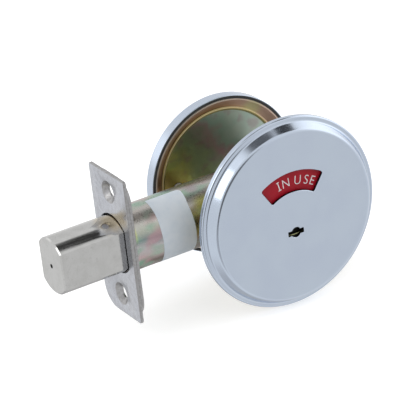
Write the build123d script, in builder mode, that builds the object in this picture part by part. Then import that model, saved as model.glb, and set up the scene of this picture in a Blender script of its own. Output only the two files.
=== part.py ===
from build123d import *
from math import cos, hypot, radians, sin, sqrt
import os

# Tubular deadbolt with an occupancy indicator.
# Millimetres. The origin is the centre of the faceplate's front face, +X runs into the door,
# -Y is the side with the indicator, +Y the side with the thumbturn, +Z is up.
# The bolt is drawn thrown and the thumbturn at its locked stop, so every joint is at zero.

# Layout in the door
backset = 60.325
door_thickness = 43.0
spindle_drop = 6.7
post_spacing = 38.1
throw = 25.4
turn_angle = 90.0

# Faceplate and backing plate
plate_width = 25.4
plate_height = 57.15
plate_sheet = 1.2
plate_corner = 1.2
plate_worn_corner = 8.0
backing_sheet = 1.2
backing_corner = 8.0
backing_inset = 1.0
plate_screw_inset = 7.925
plate_screw_hole_r = 2.6
countersink_r = 4.35
countersink_angle = 90.0
bolt_opening_gap = 0.55

# Bolt
bolt_gap = 0.3
bolt_thickness = 16.4
bolt_proud = 1.0
bolt_edge = 0.5
bolt_body_behind = 5.0
collar_length = 7.0
guard_pin_r = 3.0
guard_pin_gap = 0.1
guard_pin_end_gap = 0.9
bolt_nose_wall = 3.4
vent_r = 0.85
stake_pin_r = 1.4
stake_pin_back = 2.5
stake_pin_lean = 22.0
stake_pin_foot = 2.4
stake_pin_recess = 0.35

# Bolt tail
tail_sheet = 2.0
tail_gap = 0.1
tongue_height = 10.0
tongue_front = -7.4
tail_screw_gap = 1.2
tail_bar_height = 4.6
yoke_leg = 1.6
yoke_web = 3.0
yoke_slot_gap = 0.7
yoke_floor_gap = 0.4
yoke_tube_gap = 0.35
yoke_tip_round = 0.5

# Housing tube
tube_r = 12.05
tube_wall = 0.8
tube_lip = 1.4
tube_flange = 0.4
tube_flange_length = 1.0
tube_flange_round = 0.15
post_passage_gap = 0.3

# Latch frame
frame_cam_gap = 0.3
frame_sheet = 1.2
frame_in_tube = 7.0
frame_wall = 0.9
frame_end_wall = 1.5
frame_back_corner = 5.0
ear_length = 2.5
ear_setback = 0.5
ear_proud = 0.05
ear_gap = 0.1
frame_rivet_r = 1.6
frame_rivet_tenon_r = 1.0
frame_rivet_head_r = 1.7
frame_rivet_head = 0.6
frame_rivet_head_edge = 0.3
frame_rivet_inset = 3.2

# Cam
hub_shoulder = 1.4
journal_wall = 0.65
journal_gap = 0.05
journal_proud = 0.5
arm_sheet = 1.6
arm_gap = 0.3
arm_tip_r = 2.6
crank_pin_r = 1.6

# Spindle blade
blade_r = 2.9
blade_flats = 3.2
blade_gap = 0.05
blade_past_outer_face = 2.1
blade_past_inner_face = 8.3

# Outside rose
rose_r = 37.07
rose_rim = 2.12
rose_shoulder = 2.01
rose_cone_run = 1.96
rose_depth = 6.05
rose_sheet = 1.1
window_inner_r = 16.2
window_outer_r = 24.2
window_half_angle = 33.4
window_corner = 0.8
keyhole_length = 6.7
keyhole_height = 1.9
keyhole_centre_r = 2.0

# Rounding of both roses' pressed corners
rose_face_round = 0.8
rose_step_round = 0.3
rose_rim_round = 0.3

# Outside mounting plate and its posts
outer_plate_gap = 0.32
outer_plate_sheet = 1.0
outer_plate_ring = 4.8
outer_plate_rise = 1.7
post_wall = 1.45
post_frame_gap = 4.1
post_bore_depth = 12.0
post_shoulder = 1.3
post_head_r = 3.0
post_head = 0.7
post_edge = 0.4

# Indicator and release rotor
indicator_sheet = 0.8
indicator_gap = 0.3
indicator_margin = 1.3
indicator_overlap = 4.2
indicator_hub = 4.0
rotor_wall = 1.05
rotor_head_step = 1.0
rotor_flange_step = 2.0
rotor_gap = 0.1
rotor_inset = 1.0
rotor_slot_play = 0.15
rotor_slot_depth = 1.7

# Retaining clips
clip_sheet = 0.7
clip_reach = 1.9
clip_groove = 0.5
clip_gap = 0.02
clip_mouth = 70.0

# Inside rose, mounting plate and gasket
inner_rose_r = 31.2
inner_rose_rim = 4.86
inner_rose_shoulder = 1.9
inner_rose_cone_run = 2.0
inner_rose_depth = 8.8
inner_rose_sheet = 0.9
inner_rose_edge = 0.62
gasket_width = 0.32
gasket_depth = 1.6
gasket_gap = 0.03
inner_plate_gap = 0.15
inner_plate_sheet = 0.8
inner_plate_slope = 3.0
inner_plate_dish = 2.1
inner_plate_bead = 0.5
inner_plate_edge = 0.5
inner_plate_seat_gap = 0.1
spindle_hole_gap = 1.6

# Mounting screws
screw_r = 2.0
screw_gap = 0.05
screw_hole_gap = 0.6
plate_hole_gap = 0.2
screw_rose_gap = 0.1
screw_head_r = 3.9
screw_head = 2.2
screw_head_round = 1.5
screw_tip_edge = 0.65
screw_in_post = 7.5

# Thumbturn
turn_base_r = 9.0
turn_base = 2.4
turn_base_gap = 0.2
turn_shaft_wall = 1.95
turn_shaft_gap = 0.1
turn_shaft_inset = 5.1
turn_length = 30.0
turn_root_length = 14.0
turn_width = 6.4
turn_reach = 13.6
turn_round = 1.2
turn_edge = 1.0
turn_corner = 2.0
turn_waist = 0.6
turn_crown = 1.2
spring_washer_r = 7.8
spring_washer_sheet = 0.35
spring_washer_height = 0.75

# Middle planes and axes
half_door = door_thickness / 2
plates = plate_sheet + backing_sheet
spindle_z = -spindle_drop
screw_places = [(backset - post_spacing / 2, 0), (backset + post_spacing / 2, 0)]
screw_hole_r = screw_r + screw_hole_gap
post_r = screw_r + screw_gap + post_wall
post_tenon_r = post_r - post_shoulder
plate_screw_half_spacing = plate_height / 2 - plate_screw_inset

# Bolt in its tube
tube_bore_r = tube_r - tube_wall
tube_flange_r = tube_r + tube_flange
tube_end = backset - post_spacing / 2 + post_r + post_passage_gap + tube_lip
bolt_radius = tube_bore_r - bolt_gap
bolt_nose_x = -(throw + bolt_proud)
collar_end = bolt_body_behind + collar_length
stake_pin_x = tongue_front + stake_pin_back
guard_pin_x = bolt_nose_x + bolt_nose_wall + guard_pin_gap
guard_pin_length = tongue_front - guard_pin_end_gap - guard_pin_x

# Crank at the locked end of its quarter turn, and the yoke round its pin
crank_radius = throw / 2 / sin(radians(turn_angle / 2))
crank_x = backset - throw / 2
crank_z = spindle_z + crank_radius * cos(radians(turn_angle / 2))
arm_inner = tail_sheet / 2 + arm_gap
arm_outer = arm_inner + arm_sheet
yoke_slot_half = crank_pin_r + yoke_slot_gap
yoke_front = crank_x - yoke_slot_half - yoke_leg
yoke_back = crank_x + yoke_slot_half + yoke_leg
yoke_floor = crank_z - crank_pin_r - yoke_floor_gap
yoke_low = yoke_floor - yoke_web
yoke_high = tube_bore_r - yoke_tube_gap
tail_bar_low = screw_r + tail_screw_gap
tail_bar_high = tail_bar_low + tail_bar_height

# Turning pieces, each sized round the blade
blade_outer_end = half_door + blade_past_outer_face
blade_inner_end = half_door + blade_past_inner_face
journal_r = blade_r + blade_gap + journal_wall
hub_r = journal_r + hub_shoulder
rotor_r = blade_r + blade_gap + rotor_wall
rotor_head_r = rotor_r + rotor_head_step
rotor_flange_r = rotor_head_r + rotor_flange_step
rotor_end = half_door - rotor_inset
turn_shaft_r = blade_r + blade_gap + turn_shaft_wall
turn_shaft_end = half_door + turn_shaft_inset
indicator_hub_r = rotor_head_r + indicator_hub

# Latch frame round the cam
frame_half_gap = arm_outer + frame_cam_gap
frame_face = frame_half_gap + frame_sheet
frame_step = tube_end + ear_gap
frame_front = tube_end - frame_in_tube
frame_front_half = sqrt(tube_bore_r ** 2 - frame_face ** 2) - ear_gap / 2
frame_half_height = spindle_drop + journal_r + frame_wall
frame_back = backset + max(
    post_spacing / 2 + screw_hole_r + frame_end_wall,
    throw / 2 + yoke_back - crank_x + 2 * frame_rivet_inset)
ear_front = frame_front + ear_setback
ear_reach = sqrt(tube_r ** 2 - (frame_half_gap + frame_sheet / 2) ** 2) + ear_proud
frame_rivet_places = [
    (frame_step + frame_rivet_inset, frame_rivet_inset - frame_half_height),
    (frame_back - 2 * frame_rivet_inset, frame_rivet_inset - frame_half_height),
    (frame_back - frame_rivet_inset, frame_half_height - frame_rivet_inset),
]
post_end = frame_face + post_frame_gap

# Roses and what sits in them, measured from the middle of the door
rose_step_r = rose_r - rose_shoulder
rose_face_r = rose_step_r - rose_cone_run
outer_face = half_door + rose_depth
outer_face_back = outer_face - rose_sheet
outer_plate_back = half_door + outer_plate_rise
outer_plate_front = outer_plate_back + outer_plate_sheet
inner_rose_step_r = inner_rose_r - inner_rose_shoulder
inner_rose_face_r = inner_rose_step_r - inner_rose_cone_run
inner_face = half_door + inner_rose_depth
inner_face_back = inner_face - inner_rose_sheet
gasket_outer_r = inner_rose_r - inner_rose_sheet - gasket_gap
gasket_inner_r = gasket_outer_r - gasket_width
inner_plate_r = gasket_inner_r - inner_plate_gap
spindle_hole_r = turn_shaft_r + spindle_hole_gap

# Axes and planes that the round pieces share
rose_axis = Axis((backset, 0, 0), (0, 1, 0))
spindle_axis = Axis((backset, 0, spindle_z), (0, 1, 0))
outside_section = Plane(origin=(backset, 0, 0), x_dir=(1, 0, 0), z_dir=(0, 0, -1))
inside_section = Plane(origin=(backset, 0, 0), x_dir=(1, 0, 0), z_dir=(0, 0, 1))
outside_spindle = Plane(origin=(backset, 0, spindle_z), x_dir=(1, 0, 0), z_dir=(0, 0, -1))
inside_spindle = Plane(origin=(backset, 0, spindle_z), x_dir=(1, 0, 0), z_dir=(0, 0, 1))

os.makedirs("parts", exist_ok=True)


def facing_out(y):
    """Plane along the door at y, seen from the indicator's side: x stays x and y becomes z."""
    return Plane.XZ.offset(-y)


def spindle_plane(y):
    """The same plane with its origin on the spindle's axis."""
    return Plane(origin=(backset, y, spindle_z), x_dir=(1, 0, 0), z_dir=(0, -1, 0))


def across_bolt(x):
    """Plane square to the bolt at x: x becomes y and y becomes z."""
    return Plane.YZ.offset(x)


def stake_plane(height):
    """Plane square to the staked pin, at a height above the bolt's axis; the pin leans towards the outside."""
    lean = radians(stake_pin_lean)
    return Plane(origin=(stake_pin_x, -height * sin(lean), height * cos(lean)), x_dir=(1, 0, 0),
                 z_dir=(0, -sin(lean), cos(lean)))


def flatted_round(radius, thickness):
    """Round section of the given radius with two flats, the given thickness apart along x."""
    with BuildSketch() as section:
        Circle(radius)
        Rectangle(thickness, 2 * radius, mode=Mode.INTERSECT)
    return section.sketch


def blade_section(gap):
    """Section of the spindle blade, or of a hole that takes it with the given gap."""
    with BuildSketch() as section:
        Circle(blade_r + gap)
        Rectangle(2 * (blade_r + gap), blade_flats + 2 * gap, mode=Mode.INTERSECT)
    return section.sketch


def stepped_dish(rim_r, step_r, face_r, base, rim, face, corners):
    """Half section of a rose: a straight rim, a narrow shoulder, a cone and a flat face."""
    with BuildSketch() as section:
        with BuildLine():
            FilletPolyline(
                (0, face), (face_r, face), (step_r, rim), (rim_r, rim), (rim_r, base), radius=corners)
            Polyline((rim_r, base), (0, base), (0, face))
        make_face()
    return section.sketch


def cone_shift(run, rise):
    """How far a cone's corners move inwards for each millimetre of sheet under them."""
    return (hypot(run, rise) - run) / rise


def ring_sector(inner_r, outer_r, first, last):
    """Sector of a ring between two angles in degrees, measured from up towards +X."""
    def rim_point(radius, angle):
        return radius * sin(radians(angle)), radius * cos(radians(angle))

    middle = (first + last) / 2
    with BuildSketch() as sector:
        with BuildLine():
            ThreePointArc(rim_point(outer_r, first), rim_point(outer_r, middle), rim_point(outer_r, last))
            Line(rim_point(outer_r, last), rim_point(inner_r, last))
            ThreePointArc(rim_point(inner_r, last), rim_point(inner_r, middle), rim_point(inner_r, first))
            Line(rim_point(inner_r, first), rim_point(outer_r, first))
        make_face()
    return sector.sketch


def clip_section(groove_r):
    """Open ring that snaps into a groove of the given radius and grips it with three lugs."""
    outer_r = groove_r + clip_reach
    mouth_width = 2 * groove_r * sin(radians(clip_mouth / 2))
    with BuildSketch() as section:
        Circle(outer_r)
        Circle(groove_r + clip_reach / 2, mode=Mode.SUBTRACT)
        with PolarLocations(groove_r + clip_reach / 2, 3, start_angle=90):
            Rectangle(clip_reach, outer_r / 2)
        Circle(groove_r + clip_gap, mode=Mode.SUBTRACT)
        Rectangle(mouth_width, 2 * outer_r, align=(Align.CENTER, Align.MAX), mode=Mode.SUBTRACT)
    return section.sketch


def bolt_opening():
    """Opening in a plate that the bolt slides through."""
    return flatted_round(bolt_radius + bolt_opening_gap, bolt_thickness + 2 * bolt_opening_gap)


def plate_screw_planes():
    """Planes on the faceplate's front face at its two screw holes, facing into the door."""
    return [
        Plane(origin=(0, 0, z), x_dir=(0, 1, 0), z_dir=(-1, 0, 0))
        for z in (plate_screw_half_spacing, -plate_screw_half_spacing)
    ]


def side_plate_section():
    """Outline of one side plate of the latch frame, with its ears and holes."""
    with BuildSketch() as section:
        with Locations((frame_front, 0)):
            Rectangle(frame_step - frame_front, 2 * frame_front_half, align=(Align.MIN, Align.CENTER))
        with Locations((ear_front, 0)):
            Rectangle(ear_length, 2 * ear_reach, align=(Align.MIN, Align.CENTER))
        with Locations((frame_step, 0)):
            Rectangle(frame_back - frame_step, 2 * frame_half_height, align=(Align.MIN, Align.CENTER))
        fillet(section.vertices().group_by(Axis.X)[-1], frame_back_corner)
        with Locations((backset, spindle_z)):
            Circle(journal_r + journal_gap, mode=Mode.SUBTRACT)
        with Locations(*screw_places):
            Circle(screw_hole_r, mode=Mode.SUBTRACT)
        with Locations(*frame_rivet_places):
            Circle(frame_rivet_tenon_r + journal_gap, mode=Mode.SUBTRACT)
    return section.sketch


# Faceplate: the visible strip on the door's edge, its lower corner on the thumbturn's side worn rounder
with BuildPart() as faceplate:
    with BuildSketch(across_bolt(0)) as plate_outline:
        Rectangle(plate_width, plate_height)
        corners = plate_outline.vertices().group_by(Axis.Y)
        worn_corner = corners[0].sort_by(Axis.X)[-1]
        fillet([corner for corner in plate_outline.vertices() if corner != worn_corner], plate_corner)
        fillet(plate_outline.vertices().sort_by_distance(worn_corner)[0], plate_worn_corner)
        add(bolt_opening(), mode=Mode.SUBTRACT)
    extrude(amount=plate_sheet)
    with Locations(*plate_screw_planes()):
        CounterSinkHole(plate_screw_hole_r, countersink_r, plates, countersink_angle)
faceplate.part.label = "faceplate"
export_step(faceplate.part, "parts/faceplate.step")

# Backing plate: carries the tube, with rounder corners, and takes the rest of each countersink
with BuildPart() as backing_plate:
    with BuildSketch(across_bolt(plate_sheet)) as backing_outline:
        RectangleRounded(plate_width, plate_height - 2 * backing_inset, backing_corner)
        add(bolt_opening(), mode=Mode.SUBTRACT)
    extrude(amount=backing_sheet)
    with Locations(*plate_screw_planes()):
        CounterSinkHole(plate_screw_hole_r, countersink_r, plates, countersink_angle)
backing_plate.part.label = "backing_plate"
export_step(backing_plate.part, "parts/backing_plate.step")

# Bolt: a flat-sided round bar with a round collar that rides in the tube
with BuildPart() as bolt_head:
    with BuildSketch(across_bolt(bolt_nose_x)):
        add(flatted_round(bolt_radius, bolt_thickness))
    extrude(amount=bolt_body_behind - bolt_nose_x)
    chamfer(bolt_head.edges().group_by(Axis.X)[0], bolt_edge)
    with BuildSketch(across_bolt(bolt_body_behind)):
        Circle(bolt_radius)
    extrude(amount=collar_length)
    # slot for the tail's tongue, open at the back
    with BuildSketch(Plane.XZ) as tongue_slot:
        with Locations(((tongue_front - tail_gap + collar_end) / 2, 0)):
            Rectangle(collar_end - tongue_front + tail_gap, tongue_height + 2 * tail_gap)
    extrude(amount=tail_sheet / 2 + tail_gap, both=True, mode=Mode.SUBTRACT)
    # bore for the hardened pin, and the small hole that vents it through the nose
    with BuildSketch(across_bolt(bolt_nose_x + bolt_nose_wall)):
        Circle(guard_pin_r + guard_pin_gap)
    extrude(amount=tongue_front - bolt_nose_x - bolt_nose_wall, mode=Mode.SUBTRACT)
    with BuildSketch(across_bolt(bolt_nose_x)):
        Circle(vent_r)
    extrude(amount=bolt_nose_wall, mode=Mode.SUBTRACT)
    # leaning hole for the staked pin, down into the tongue's notch
    with BuildSketch(stake_plane(stake_pin_foot - tail_gap)):
        Circle(stake_pin_r)
    extrude(amount=bolt_radius, mode=Mode.SUBTRACT)
bolt_head.part.label = "bolt_head"
export_step(bolt_head.part, "parts/bolt_head.step")

# Hardened pin: rolls under a saw blade, trapped between the nose and the tongue
with BuildPart() as saw_guard_pin:
    with BuildSketch(across_bolt(guard_pin_x)):
        Circle(guard_pin_r)
    extrude(amount=guard_pin_length)
    chamfer(saw_guard_pin.edges(), bolt_edge)
saw_guard_pin.part.label = "saw_guard_pin"
export_step(saw_guard_pin.part, "parts/saw_guard_pin.step")

# Staked pin: holds the tail in the bolt, its top a shallow dimple in the bolt's round side
with BuildPart() as stake_pin:
    with BuildSketch(stake_plane(stake_pin_foot)):
        Circle(stake_pin_r - tail_gap / 2)
    extrude(amount=bolt_radius - stake_pin_recess - stake_pin_foot)
stake_pin.part.label = "stake_pin"
export_step(stake_pin.part, "parts/stake_pin.step")

# Tail: a flat bar above the mounting screw, with a yoke that the cam's crank pin pushes
with BuildPart() as bolt_tail:
    with BuildSketch(Plane.XZ) as tail_outline:
        with Locations((tongue_front, 0)):
            Rectangle(collar_end - tongue_front, tongue_height, align=(Align.MIN, Align.CENTER))
        with Locations((collar_end, tail_bar_low)):
            Rectangle(yoke_front - collar_end, tail_bar_high - tail_bar_low, align=(Align.MIN, Align.MIN))
        with Locations((yoke_front, tail_bar_low)):
            Rectangle(yoke_back - yoke_front, yoke_high - tail_bar_low, align=(Align.MIN, Align.MIN))
        with Locations((yoke_back, yoke_low)):
            Rectangle(2 * yoke_slot_half + yoke_leg, tail_bar_high - yoke_low, align=(Align.MAX, Align.MIN))
        with Locations((crank_x, yoke_floor)):
            Rectangle(2 * yoke_slot_half, yoke_high, align=(Align.CENTER, Align.MIN), mode=Mode.SUBTRACT)
    extrude(amount=tail_sheet / 2, both=True)
    with BuildSketch(stake_plane(stake_pin_foot - tail_gap)):
        Circle(stake_pin_r + tail_gap)
    extrude(amount=tongue_height, mode=Mode.SUBTRACT)
    yoke_tips = bolt_tail.edges().filter_by(Axis.Y).group_by(Axis.Z)[-1]
    fillet(yoke_tips, yoke_tip_round)
bolt_tail.part.label = "bolt_tail"
export_step(bolt_tail.part, "parts/bolt_tail.step")

# Housing tube: flanged behind the plates, with passages for a post and slots for the frame's ears
with BuildPart() as housing_tube:
    with BuildSketch(across_bolt(plates)):
        Circle(tube_flange_r)
    extrude(amount=tube_flange_length)
    with BuildSketch(across_bolt(plates)):
        Circle(tube_r)
    extrude(amount=tube_end - plates)
    fillet(housing_tube.edges().filter_by(GeomType.CIRCLE).sort_by(Axis.X)[1:3], tube_flange_round)
    with BuildSketch(across_bolt(plates)):
        Circle(tube_bore_r)
    extrude(amount=tube_end - plates, mode=Mode.SUBTRACT)
    with BuildSketch(Plane.XZ):
        with Locations(screw_places[0]):
            Circle(post_r + post_passage_gap)
    extrude(amount=tube_r, both=True, mode=Mode.SUBTRACT)
    with BuildSketch(Plane.XY) as ear_slots:
        with Locations((ear_front + ear_length / 2, frame_half_gap + frame_sheet / 2)):
            Rectangle(ear_length + 2 * ear_gap, frame_sheet + 2 * ear_gap)
        with Locations((ear_front + ear_length / 2, -frame_half_gap - frame_sheet / 2)):
            Rectangle(ear_length + 2 * ear_gap, frame_sheet + 2 * ear_gap)
    extrude(amount=tube_r, both=True, mode=Mode.SUBTRACT)
housing_tube.part.label = "housing_tube"
export_step(housing_tube.part, "parts/housing_tube.step")

# Side plates of the latch frame: their fronts sit in the tube's bore, held by ears through its wall
for name, inner_side in (("side_plate_outer", -frame_half_gap), ("side_plate_inner", frame_face)):
    with BuildPart() as side_plate:
        with BuildSketch(facing_out(inner_side)):
            add(side_plate_section())
        extrude(amount=frame_sheet)
    side_plate.part.label = name
    export_step(side_plate.part, f"parts/{name}.step")

# Frame rivets: shouldered spacers that hold the side plates apart, headed over outside them
with BuildPart() as frame_rivets:
    with BuildSketch(facing_out(frame_half_gap)):
        with Locations(*frame_rivet_places):
            Circle(frame_rivet_r)
    extrude(amount=2 * frame_half_gap)
    with BuildSketch(facing_out(frame_face + frame_rivet_head)):
        with Locations(*frame_rivet_places):
            Circle(frame_rivet_tenon_r)
    extrude(amount=2 * (frame_face + frame_rivet_head))
    with BuildSketch(facing_out(frame_face + frame_rivet_head), facing_out(-frame_face)):
        with Locations(*frame_rivet_places):
            Circle(frame_rivet_head_r)
    extrude(amount=frame_rivet_head)
    head_faces = frame_rivets.faces().sort_by(Axis.Y)
    ends = head_faces[:len(frame_rivet_places)] + head_faces[-len(frame_rivet_places):]
    chamfer([face.edges() for face in ends], frame_rivet_head_edge)
frame_rivets.part.label = "frame_rivets"
export_step(frame_rivets.part, "parts/frame_rivets.step")

# Cam: a hub journalled in the side plates, with two arms that carry the crank pin either side of the tail
crank_offset = (crank_x - backset, crank_z - spindle_z)
with BuildPart() as cam:
    with BuildSketch(spindle_plane(arm_outer)):
        Circle(hub_r)
    extrude(amount=2 * arm_outer)
    with BuildSketch(spindle_plane(arm_outer), spindle_plane(-arm_inner)):
        Circle(hub_r)
        with Locations(crank_offset):
            Circle(arm_tip_r)
        make_hull()
    extrude(amount=arm_sheet)
    with BuildSketch(spindle_plane(frame_face + journal_proud)):
        Circle(journal_r)
    extrude(amount=2 * (frame_face + journal_proud))
    with BuildSketch(spindle_plane(frame_face + journal_proud)):
        add(blade_section(blade_gap))
        with Locations(crank_offset):
            Circle(crank_pin_r + clip_gap)
    extrude(amount=2 * (frame_face + journal_proud), mode=Mode.SUBTRACT)
cam.part.label = "cam"
export_step(cam.part, "parts/cam.step")

# Crank pin: pressed through both arms, it runs in the yoke's slot
with BuildPart() as crank_pin:
    with BuildSketch(facing_out(arm_outer)):
        with Locations((crank_x, crank_z)):
            Circle(crank_pin_r)
    extrude(amount=2 * arm_outer)
crank_pin.part.label = "crank_pin"
export_step(crank_pin.part, "parts/crank_pin.step")

# Spindle blade: a round bar with two flats, from the release rotor through the cam to the thumbturn
with BuildPart() as spindle_blade:
    with BuildSketch(spindle_plane(blade_inner_end)):
        add(blade_section(0))
    extrude(amount=blade_inner_end + blade_outer_end)
spindle_blade.part.label = "spindle_blade"
export_step(spindle_blade.part, "parts/spindle_blade.step")

# Outside rose: a pressed cup with a straight rim, a shoulder and a cone, pierced by window and keyhole
rose_shift = rose_sheet * cone_shift(rose_step_r - rose_face_r, rose_depth - rose_rim)
with BuildPart() as outside_rose:
    with BuildSketch(outside_section):
        add(stepped_dish(rose_r, rose_step_r, rose_face_r, half_door, half_door + rose_rim, outer_face,
                         [rose_face_round, rose_step_round, rose_rim_round]))
    revolve(axis=rose_axis)
    with BuildSketch(outside_section):
        add(stepped_dish(rose_r - rose_sheet, rose_step_r - rose_shift, rose_face_r - rose_shift, half_door,
                         half_door + rose_rim - rose_sheet, outer_face_back,
                         [rose_step_round, rose_face_round, rose_step_round]))
    revolve(axis=rose_axis, mode=Mode.SUBTRACT)
    with BuildSketch(spindle_plane(-outer_face_back)) as window:
        add(ring_sector(window_inner_r, window_outer_r, -window_half_angle, window_half_angle))
        fillet(window.vertices(), window_corner)
    extrude(amount=rose_sheet, mode=Mode.SUBTRACT)
    with BuildSketch(spindle_plane(-outer_face_back)):
        Rectangle(keyhole_length, keyhole_height)
        Circle(keyhole_centre_r)
    extrude(amount=rose_sheet, mode=Mode.SUBTRACT)
outside_rose.part.label = "outside_rose"
export_step(outside_rose.part, "parts/outside_rose.step")

# Outside mounting plate: a dished disc inside the rose's rim that carries the posts and the rotor
plate_rim_r = rose_r - rose_sheet - outer_plate_gap
plate_shift = outer_plate_sheet * cone_shift(outer_plate_rise, outer_plate_rise)
ring_r = plate_rim_r - outer_plate_ring
with BuildPart() as outside_plate:
    with BuildSketch(outside_section):
        with BuildLine():
            Polyline(
                (0, outer_plate_front),
                (ring_r - outer_plate_rise + plate_shift, outer_plate_front),
                (ring_r + plate_shift, half_door + outer_plate_sheet),
                (plate_rim_r, half_door + outer_plate_sheet),
                (plate_rim_r, half_door),
                (ring_r, half_door),
                (ring_r - outer_plate_rise, outer_plate_back),
                (0, outer_plate_back),
                close=True,
            )
        make_face()
    revolve(axis=rose_axis)
    with BuildSketch(facing_out(-outer_plate_back)):
        with Locations((backset, spindle_z)):
            Circle(rotor_r + rotor_gap)
        with Locations(*screw_places):
            Circle(post_tenon_r + clip_gap)
    extrude(amount=outer_plate_sheet, mode=Mode.SUBTRACT)
outside_plate.part.label = "outside_plate"
export_step(outside_plate.part, "parts/outside_plate.step")

# Outside posts: tapped posts riveted into the plate, which take the mounting screws
with BuildPart() as outside_posts:
    with BuildSketch(facing_out(-post_end)):
        with Locations(*screw_places):
            Circle(post_r)
    extrude(amount=outer_plate_back - post_end)
    with BuildSketch(facing_out(-outer_plate_back)):
        with Locations(*screw_places):
            Circle(post_tenon_r)
    extrude(amount=outer_plate_sheet + post_head)
    with BuildSketch(facing_out(-outer_plate_front)):
        with Locations(*screw_places):
            Circle(post_head_r)
    extrude(amount=post_head)
    with BuildSketch(facing_out(-post_end)):
        with Locations(*screw_places):
            Circle(screw_r + screw_gap)
    extrude(amount=post_bore_depth, mode=Mode.SUBTRACT)
    free_ends = outside_posts.edges().filter_by(GeomType.CIRCLE).group_by(Axis.Y)[-1]
    chamfer(free_ends.group_by(SortBy.RADIUS)[-1], post_edge)
outside_posts.part.label = "outside_posts"
export_step(outside_posts.part, "parts/outside_posts.step")

# Release rotor: turned from outside through the keyhole, it holds the outer end of the blade
indicator_front = outer_face_back - indicator_gap
indicator_back = indicator_front - indicator_sheet
rotor_flange_back = outer_plate_front + rotor_gap
rotor_clip_front = outer_plate_back - rotor_gap
rotor_clip_back = rotor_clip_front - clip_sheet
rotor_groove_r = rotor_r - clip_groove
with BuildPart() as release_rotor:
    with BuildSketch(outside_spindle):
        with Locations((0, rotor_end)):
            Rectangle(rotor_r, rotor_flange_back - rotor_end, align=(Align.MIN, Align.MIN))
        with Locations((0, rotor_flange_back)):
            Rectangle(rotor_flange_r, indicator_back - rotor_flange_back, align=(Align.MIN, Align.MIN))
        with Locations((0, indicator_back)):
            Rectangle(rotor_head_r, indicator_sheet, align=(Align.MIN, Align.MIN))
        with Locations((rotor_groove_r, rotor_clip_back - clip_gap)):
            Rectangle(rotor_r, clip_sheet + 2 * clip_gap, align=(Align.MIN, Align.MIN), mode=Mode.SUBTRACT)
    revolve(axis=spindle_axis)
    with BuildSketch(spindle_plane(-indicator_front)):
        Rectangle(keyhole_length + 2 * rotor_slot_play, keyhole_height + 2 * rotor_slot_play)
    extrude(amount=-rotor_slot_depth, mode=Mode.SUBTRACT)
    with BuildSketch(spindle_plane(-rotor_end)):
        add(blade_section(blade_gap))
    extrude(amount=blade_outer_end + blade_gap - rotor_end, mode=Mode.SUBTRACT)
release_rotor.part.label = "release_rotor"
export_step(release_rotor.part, "parts/release_rotor.step")

# Rotor clip: holds the rotor in the mounting plate
with BuildPart() as rotor_clip:
    with BuildSketch(spindle_plane(-rotor_clip_back)):
        add(clip_section(rotor_groove_r))
    extrude(amount=clip_sheet)
rotor_clip.part.label = "rotor_clip"
export_step(rotor_clip.part, "parts/rotor_clip.step")

# Indicator: a sector behind the window, one half showing when locked and the other when free
indicator_first = -(turn_angle + window_half_angle + indicator_overlap)
indicator_last = window_half_angle + indicator_overlap
with BuildPart() as indicator_disc:
    with BuildSketch(spindle_plane(-indicator_back)):
        add(ring_sector(rotor_head_r, window_outer_r + indicator_margin, indicator_first, indicator_last))
        Circle(indicator_hub_r)
        Circle(rotor_head_r + clip_gap, mode=Mode.SUBTRACT)
    extrude(amount=indicator_sheet)
indicator_disc.part.label = "indicator_disc"
export_step(indicator_disc.part, "parts/indicator_disc.step")

# Inside rose: a smaller pressed cup, its open edge thinned for the gasket
inner_shift = inner_rose_sheet * cone_shift(
    inner_rose_step_r - inner_rose_face_r, inner_rose_depth - inner_rose_rim)
with BuildPart() as inside_rose:
    with BuildSketch(inside_section):
        add(stepped_dish(inner_rose_r, inner_rose_step_r, inner_rose_face_r, half_door,
                         half_door + inner_rose_rim, inner_face,
                         [rose_face_round, rose_step_round, rose_rim_round]))
    revolve(axis=rose_axis)
    with BuildSketch(inside_section):
        add(stepped_dish(inner_rose_r - inner_rose_sheet, inner_rose_step_r - inner_shift,
                         inner_rose_face_r - inner_shift, half_door,
                         half_door + inner_rose_rim - inner_rose_sheet, inner_face_back,
                         [rose_step_round, rose_face_round, rose_step_round]))
    revolve(axis=rose_axis, mode=Mode.SUBTRACT)
    with BuildSketch(facing_out(inner_face)):
        with Locations((backset, spindle_z)):
            Circle(turn_shaft_r + turn_shaft_gap)
        with Locations(*screw_places):
            Circle(screw_r + screw_rose_gap)
    extrude(amount=inner_rose_sheet, mode=Mode.SUBTRACT)
    open_edge = inside_rose.edges().filter_by(GeomType.CIRCLE).group_by(Axis.Y)[0].sort_by(SortBy.RADIUS)[0]
    chamfer(open_edge, inner_rose_edge)
inside_rose.part.label = "inside_rose"
export_step(inside_rose.part, "parts/inside_rose.step")

# Gasket: a black rubber ring between the inside rose's edge, its mounting plate and the door
with BuildPart() as inside_gasket:
    with BuildSketch(inside_section):
        with BuildLine():
            Polyline(
                (gasket_inner_r, half_door),
                (gasket_outer_r + inner_rose_edge, half_door),
                (gasket_outer_r, half_door + inner_rose_edge),
                (gasket_outer_r, half_door + gasket_depth),
                (gasket_inner_r, half_door + gasket_depth),
                close=True,
            )
        make_face()
    revolve(axis=rose_axis)
inside_gasket.part.label = "inside_gasket"
export_step(inside_gasket.part, "parts/inside_gasket.step")

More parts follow.
